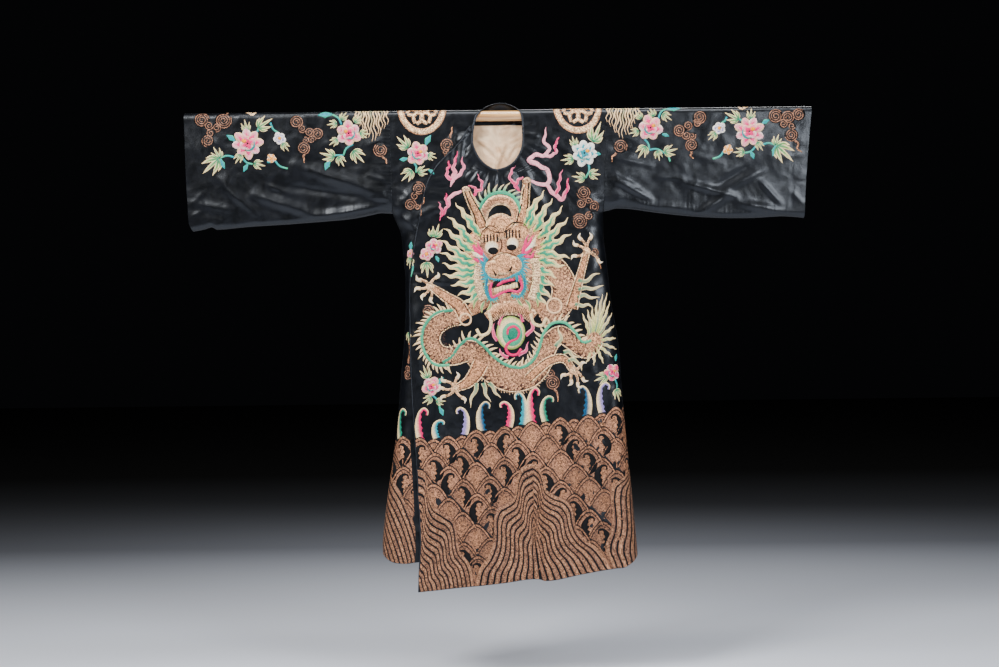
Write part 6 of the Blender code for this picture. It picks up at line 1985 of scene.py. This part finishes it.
def feather_fan(bm):
    """Wavy pale strips that hang over the ridge in a pointed fan."""
    for i in range(FEATHERS):
        a = FEATHER_FIRST + FEATHER_PITCH * i
        middle = 1.0 - abs(i - FEATHERS * FEATHER_LONGEST) / (FEATHERS * (1.0 - FEATHER_LONGEST))
        foot = 0.6 + 6.6 * max(middle, 0.0) ** 0.8 + 0.5 * math.sin(2.6 * i)
        path = [(a, FEATHER_TOP), (a + 0.3, (FEATHER_TOP + foot) / 2.0), (a - 0.1 + 0.25 * math.sin(i), foot)]
        band(bm, path, [0.40, 0.42, 0.38, 0.10], "teal" if i % 4 == 2 else "cream", "gold_pale", high=0.11,
             long=26, wave=(0.26, 3.2))


for sleeve, blooms, sprays, lobes, tails in (
        (RIGHT_SLEEVE, RIGHT_BLOOMS, RIGHT_SPRAYS, RIGHT_LOBES, RIGHT_TAILS),
        (LEFT_SLEEVE, LEFT_BLOOMS, LEFT_SPRAYS, LEFT_LOBES, LEFT_TAILS)):
    sleeve_silk = new_stitching()
    sleeve_gold = new_stitching()
    for row in sprays:
        sprig(sleeve_silk, *row)
    for row in blooms:
        bloom(sleeve_silk, row)
    feather_fan(sleeve_silk)
    cloud(sleeve_gold, lobes, tails)
    curl = swirl_path((71.0, -2.6), 1.7, 1.2, 1, 2.2)
    band(sleeve_gold, [(75.4, -3.6), (73.2, -3.9)] + curl, [0.3, 0.8, 0.8, 0.5], "gold_pale", high=0.12,
         long=30)
    sew_on(sleeve_silk, "flowers_sleeve_" + sleeve.column, on_sleeve(sleeve), "silk_floss", silk_floss)
    sew_on(sleeve_gold, "clouds_sleeve_" + sleeve.column, on_sleeve(sleeve), "gold_thread", gold_thread)


# Border of the underlap: the same waves on the strip that shows at the side,
# over slanting stripes; a plain satin band runs beside the overlap's edge.
STRIP_BAND = 1.3
STRIP_ROWS = 5
FAR_HEM_RUN = 1.25
STRIP_OUTER = [
    (-39.0, 100.0), (-33.0, 102.6), (-29.2, 106.6), (-26.6, 112.0), (-24.4, 118.4), (-22.8, 125.0),
    (-22.0, 130.0),
]
STRIP_INNER = [(-41.0, 132.0), (-40.4, 132.4), (-39.8, 132.8), (-39.2, 133.2), (-38.6, 133.6)]


def on_underlap(a, down, height):
    run = down + ARC
    return lifted(front_base, a, run, -1, underlap_lift(a, run) + height)


def underlap_low_a(down):
    side = side_x(down * CM, "right")
    return across_cloth(side + SIDE_SLACK, down * CM) / CM + SIDE_SHOW


def underlap_high_a(down):
    return overlap_low_a(down) - BORDER_EDGE - STRIP_BAND


def underlap_hem_down(a):
    x = front_base(a * CM, np.full_like(a, FAR_HEM_RUN))[:, 0]
    return read(UNDERLAP_HEM, x, "drop") / CM - HEM_SHOW


def strip_top_at(a):
    return 91.4 - 0.15 * (a + 30.0)


border("underlap", on_underlap, -40.0, -22.0, strip_top_at, STRIP_ROWS, 1,
       (underlap_low_a, underlap_high_a, underlap_hem_down), [(STRIP_OUTER, STRIP_INNER, 15)])
strip_foam = new_stitching()
foam_crest(strip_foam, Crest(-29.0, 8.2, 1.5, 3.0, "teal"), 92.2)
sew_on(strip_foam, "foam_crest_underlap", on_underlap, "silk_floss", silk_floss)


# Border of the back: the waves and one middle mountain go on all round; above
# them the back is left plain.
BACK_ROWS = 9
BACK_LEFT = [
    (1.0, 99.0), (-1.6, 100.2), (-3.0, 103.2), (-3.6, 107.0), (-5.4, 109.6), (-8.6, 111.6), (-9.6, 116.0),
    (-10.6, 120.4), (-13.0, 125.0), (-17.0, 131.0),
]
BACK_INNER = [(1.2, 117.0), (1.2, 119.0), (1.2, 121.0), (1.2, 124.0), (1.2, 127.0), (1.2, 131.5)]
BACK_RIGHT = [
    (1.0, 99.0), (3.4, 100.2), (4.8, 103.2), (5.6, 107.0), (8.0, 109.6), (11.0, 111.6), (12.2, 116.0),
    (13.4, 120.4), (16.0, 125.0), (20.4, 132.0),
]
BACK_CRESTS = [Crest(*row) for row in [
    (-27.0, 8.0, 1.5, 2.8, "lilac"), (-17.0, 7.2, -1.6, 2.8, "pink"), (-8.0, 8.6, 1.5, 3.0, "teal"),
    (1.0, 9.2, -1.5, 3.2, "deep"), (10.0, 7.4, 1.6, 2.8, "pink"), (19.0, 8.4, -1.5, 3.0, "turquoise"),
    (28.0, 7.6, 1.5, 2.8, "lilac"),
]]


def on_back(a, down, height):
    return lifted(back_base, a, down + ARC, 1, height)


def back_hem_down(a):
    x = back_base(a * CM, np.full_like(a, FAR_HEM_RUN))[:, 0]
    return read(BACK_HEM, x, "drop") / CM - HEM_SHOW


def back_top_at(a):
    return 88.0 - 0.09 * a


border("back", on_back, -41.0, 43.0, back_top_at, BACK_ROWS, 0, (underlap_low_a, front_high_a, back_hem_down),
       [(BACK_LEFT, BACK_INNER, 10), (BACK_RIGHT, BACK_INNER, 10)])
foam_crests("back", on_back, BACK_CRESTS, back_top_at)


# Neck binding: a narrow strip of the same satin, folded over the raw edge and
# stitched down, all round the opening.
BAND_WIDTH = 0.0064
BAND_THICKNESS = 0.0028
BAND_LIFT = 0.0004
BAND_GAP = -0.0010
BAND_AROUND = 16
NECK_MIDDLE = (0.005, -0.020, -0.060)
NECK_STEPS = 64
BACK_NECK_STEPS = 28
NORMAL_REACH = 0.001
BAND_LIFT_TOP = 0.005
BAND_LIFT_REACH = 0.03


def neck_line():
    """Neck edge all round, with the cloth's normal at each of its points."""
    upward = np.linspace(0.0, NECK_FOOT, NECK_STEPS)[::-1]
    downward = upward[:0:-1]
    across = np.linspace(BACK_NECK_RIGHT, BACK_NECK_LEFT, BACK_NECK_STEPS)[1:-1]
    parts = []
    for a, run, base, out, lift in (
            (read(NECK, upward, "left"), upward, front_base, -1, 0.0),
            (across, np.zeros_like(across), back_base, 1, 0.0),
            (read(NECK, downward, "right"), downward, front_base, -1, OVERLAP_LIFT)):
        high = lift * ease((drop_at(run) - BAND_LIFT_TOP) / BAND_LIFT_REACH)
        low = lifted(base, a, run, out, high)
        parts.append((low, lifted(base, a, run, out, high + NORMAL_REACH) - low))
    points = np.concatenate([part[0] for part in parts])
    normals = np.concatenate([part[1] for part in parts]) / NORMAL_REACH
    return points, normals


def binding_points(u, v):
    """Points round a flat tube that follows the neck's edge."""
    points, normals = neck_line()
    along = np.roll(points, -1, axis=0) - np.roll(points, 1, axis=0)
    inward = np.cross(normals, along)
    inward /= np.linalg.norm(inward, axis=1, keepdims=True)
    facing = ((np.array(NECK_MIDDLE) - points) * inward).sum(axis=1, keepdims=True)
    inward = np.where(facing < 0.0, -inward, inward)
    centre = points + inward * (BAND_WIDTH / 2 + BAND_GAP) + normals * BAND_LIFT
    row = np.round(v * len(points)).astype(int) % len(points)
    turn = 2.0 * math.pi * u
    stitch_dip = 1.0 + 0.05 * np.sin(row * 2.1)
    wide = inward[row] * (BAND_WIDTH / 2 * np.cos(turn) * stitch_dip)[:, None]
    high = normals[row] * (BAND_THICKNESS / 2 * np.sin(turn) * stitch_dip)[:, None]
    return centre[row] + wide + high


binding_bm = bmesh.new()
bmesh.ops.create_grid(binding_bm, x_segments=BAND_AROUND, y_segments=2 * NECK_STEPS + BACK_NECK_STEPS - 3,
                      size=0.5)
binding_u = np.array([vert.co.x for vert in binding_bm.verts]) + 0.5
binding_v = 0.5 - np.array([vert.co.y for vert in binding_bm.verts])
for vert, place in zip(binding_bm.verts, binding_points(binding_u, binding_v)):
    vert.co = place
bmesh.ops.remove_doubles(binding_bm, verts=binding_bm.verts, dist=0.00001)
bmesh.ops.recalc_face_normals(binding_bm, faces=binding_bm.faces)
# Satin of the binding, lighter than the robe's, with the same painted patches of light and shade in its
# colour.
binding_satin = satin_material("binding_satin", (0.0045, 0.0048, 0.0062, 1.0), (0.012, 0.0125, 0.016, 1.0),
                               0.38, 600.0, (0.76, 0.86, 1.0))
make_piece("satin_neck_binding", binding_bm, [binding_satin], "neck_binding")


# Piping of the overlap: a fine rolled edge of the binding's satin, sewn along
# the slanting edge from the neck to the hem.
PIPING_OUT = 0.16
PIPING_FOOT = 1.30
PIPING = [(row.x / CM + PIPING_OUT, row.drop / CM) for row in OVERLAP_EDGE if row.drop < PIPING_FOOT]

piping = new_stitching()
band(piping, PIPING, [0.42, 0.42], "black", high=0.34, long=150, wide=3)
sew_on(piping, "overlap_piping", on_front, "satin", binding_satin)


# Knot button and loop: a ball knotted from a satin cord at the overlap's tip,
# held in a loop of the same cord.
KNOT_RADIUS = 0.005
KNOT_A = -0.0790
KNOT_DROP = 0.044
KNOT_STAND = 0.0005
KNOT_CORD = 0.0013
KNOT_TURNS = 3
KNOT_CROSSINGS = 7
KNOT_TILT = 1.15
KNOT_WAVER = 0.0004
LOOP_CORD = 0.0011
LOOP_TWISTS = 22
STRAND_OFF = 0.48
STRAND_SHARE = 0.55


def cord_tube(bm, path, radius, sides):
    """A closed round cord along a path."""
    count = len(path)
    along = np.roll(path, -1, axis=0) - np.roll(path, 1, axis=0)
    along /= np.linalg.norm(along, axis=1, keepdims=True)
    up = np.cross(along, np.array([0.31, 0.52, 0.79]))
    up /= np.linalg.norm(up, axis=1, keepdims=True)
    over = np.cross(along, up)
    for vert in bmesh.ops.create_grid(bm, x_segments=sides, y_segments=count, size=0.5)["verts"]:
        turn = 2.0 * math.pi * (vert.co.x + 0.5)
        row = round((vert.co.y + 0.5) * count) % count
        vert.co = path[row] + radius * (up[row] * math.cos(turn) + over[row] * math.sin(turn))


def at_knot(height):
    """The knot's place on the overlap, at a height over it."""
    return lifted(front_base, np.array([KNOT_A]), np.array([KNOT_DROP + ARC]), -1,
                  np.array([OVERLAP_LIFT + height]))[0]


knot_seat = at_knot(0.0)
knot_normal = (at_knot(NORMAL_REACH) - knot_seat) / NORMAL_REACH
knot_turn = np.array(Vector((0.0, 0.0, 1.0)).rotation_difference(Vector(knot_normal)).to_matrix())

knot_bm = bmesh.new()
knot_angles = np.linspace(0.0, 2.0 * math.pi, 240, endpoint=False)
knot_tilt = np.sin(knot_angles * KNOT_CROSSINGS) * KNOT_TILT
knot_spin = knot_angles * KNOT_TURNS
knot_reach = KNOT_RADIUS - KNOT_CORD + KNOT_WAVER * np.cos(knot_angles * KNOT_CROSSINGS * 2)
knot_path = np.stack([knot_reach * np.cos(knot_tilt) * np.cos(knot_spin),
                      knot_reach * np.cos(knot_tilt) * np.sin(knot_spin), knot_reach * np.sin(knot_tilt)],
                      axis=-1)
knot_middle = knot_seat + knot_normal * (KNOT_RADIUS + KNOT_STAND)
cord_tube(knot_bm, knot_path @ knot_turn.T + knot_middle, KNOT_CORD, 10)
knot_core = bmesh.ops.create_uvsphere(knot_bm, u_segments=16, v_segments=10, radius=KNOT_RADIUS - KNOT_CORD)
for vert in knot_core["verts"]:
    vert.co = Vector(knot_turn @ np.array(vert.co) + knot_middle)

loop_bm = bmesh.new()
loop_rise = LOOP_CORD + KNOT_STAND
loop_below = KNOT_RADIUS + KNOT_STAND - loop_rise
loop_radius = math.sqrt(KNOT_RADIUS ** 2 - loop_below ** 2) + LOOP_CORD + LAYER_GAP
loop_angles = np.linspace(0.0, 2.0 * math.pi, 160, endpoint=False)
for strand in (0.0, math.pi):
    twist = loop_angles * LOOP_TWISTS + strand
    reach = loop_radius + LOOP_CORD * STRAND_OFF * np.cos(twist)
    rise = loop_rise + LOOP_CORD * STRAND_OFF * np.sin(twist)
    loop_path = np.stack([reach * np.cos(loop_angles), reach * np.sin(loop_angles), rise], axis=-1)
    cord_tube(loop_bm, loop_path @ knot_turn.T + knot_seat, LOOP_CORD * STRAND_SHARE, 8)

for name, node, cord_bm in (("cord_knot_button", "knot_button", knot_bm),
                            ("cord_button_loop", "button_loop", loop_bm)):
    bmesh.ops.remove_doubles(cord_bm, verts=cord_bm.verts, dist=0.000001)
    bmesh.ops.recalc_face_normals(cord_bm, faces=cord_bm.faces)
    make_piece(name, cord_bm, [binding_satin], node)
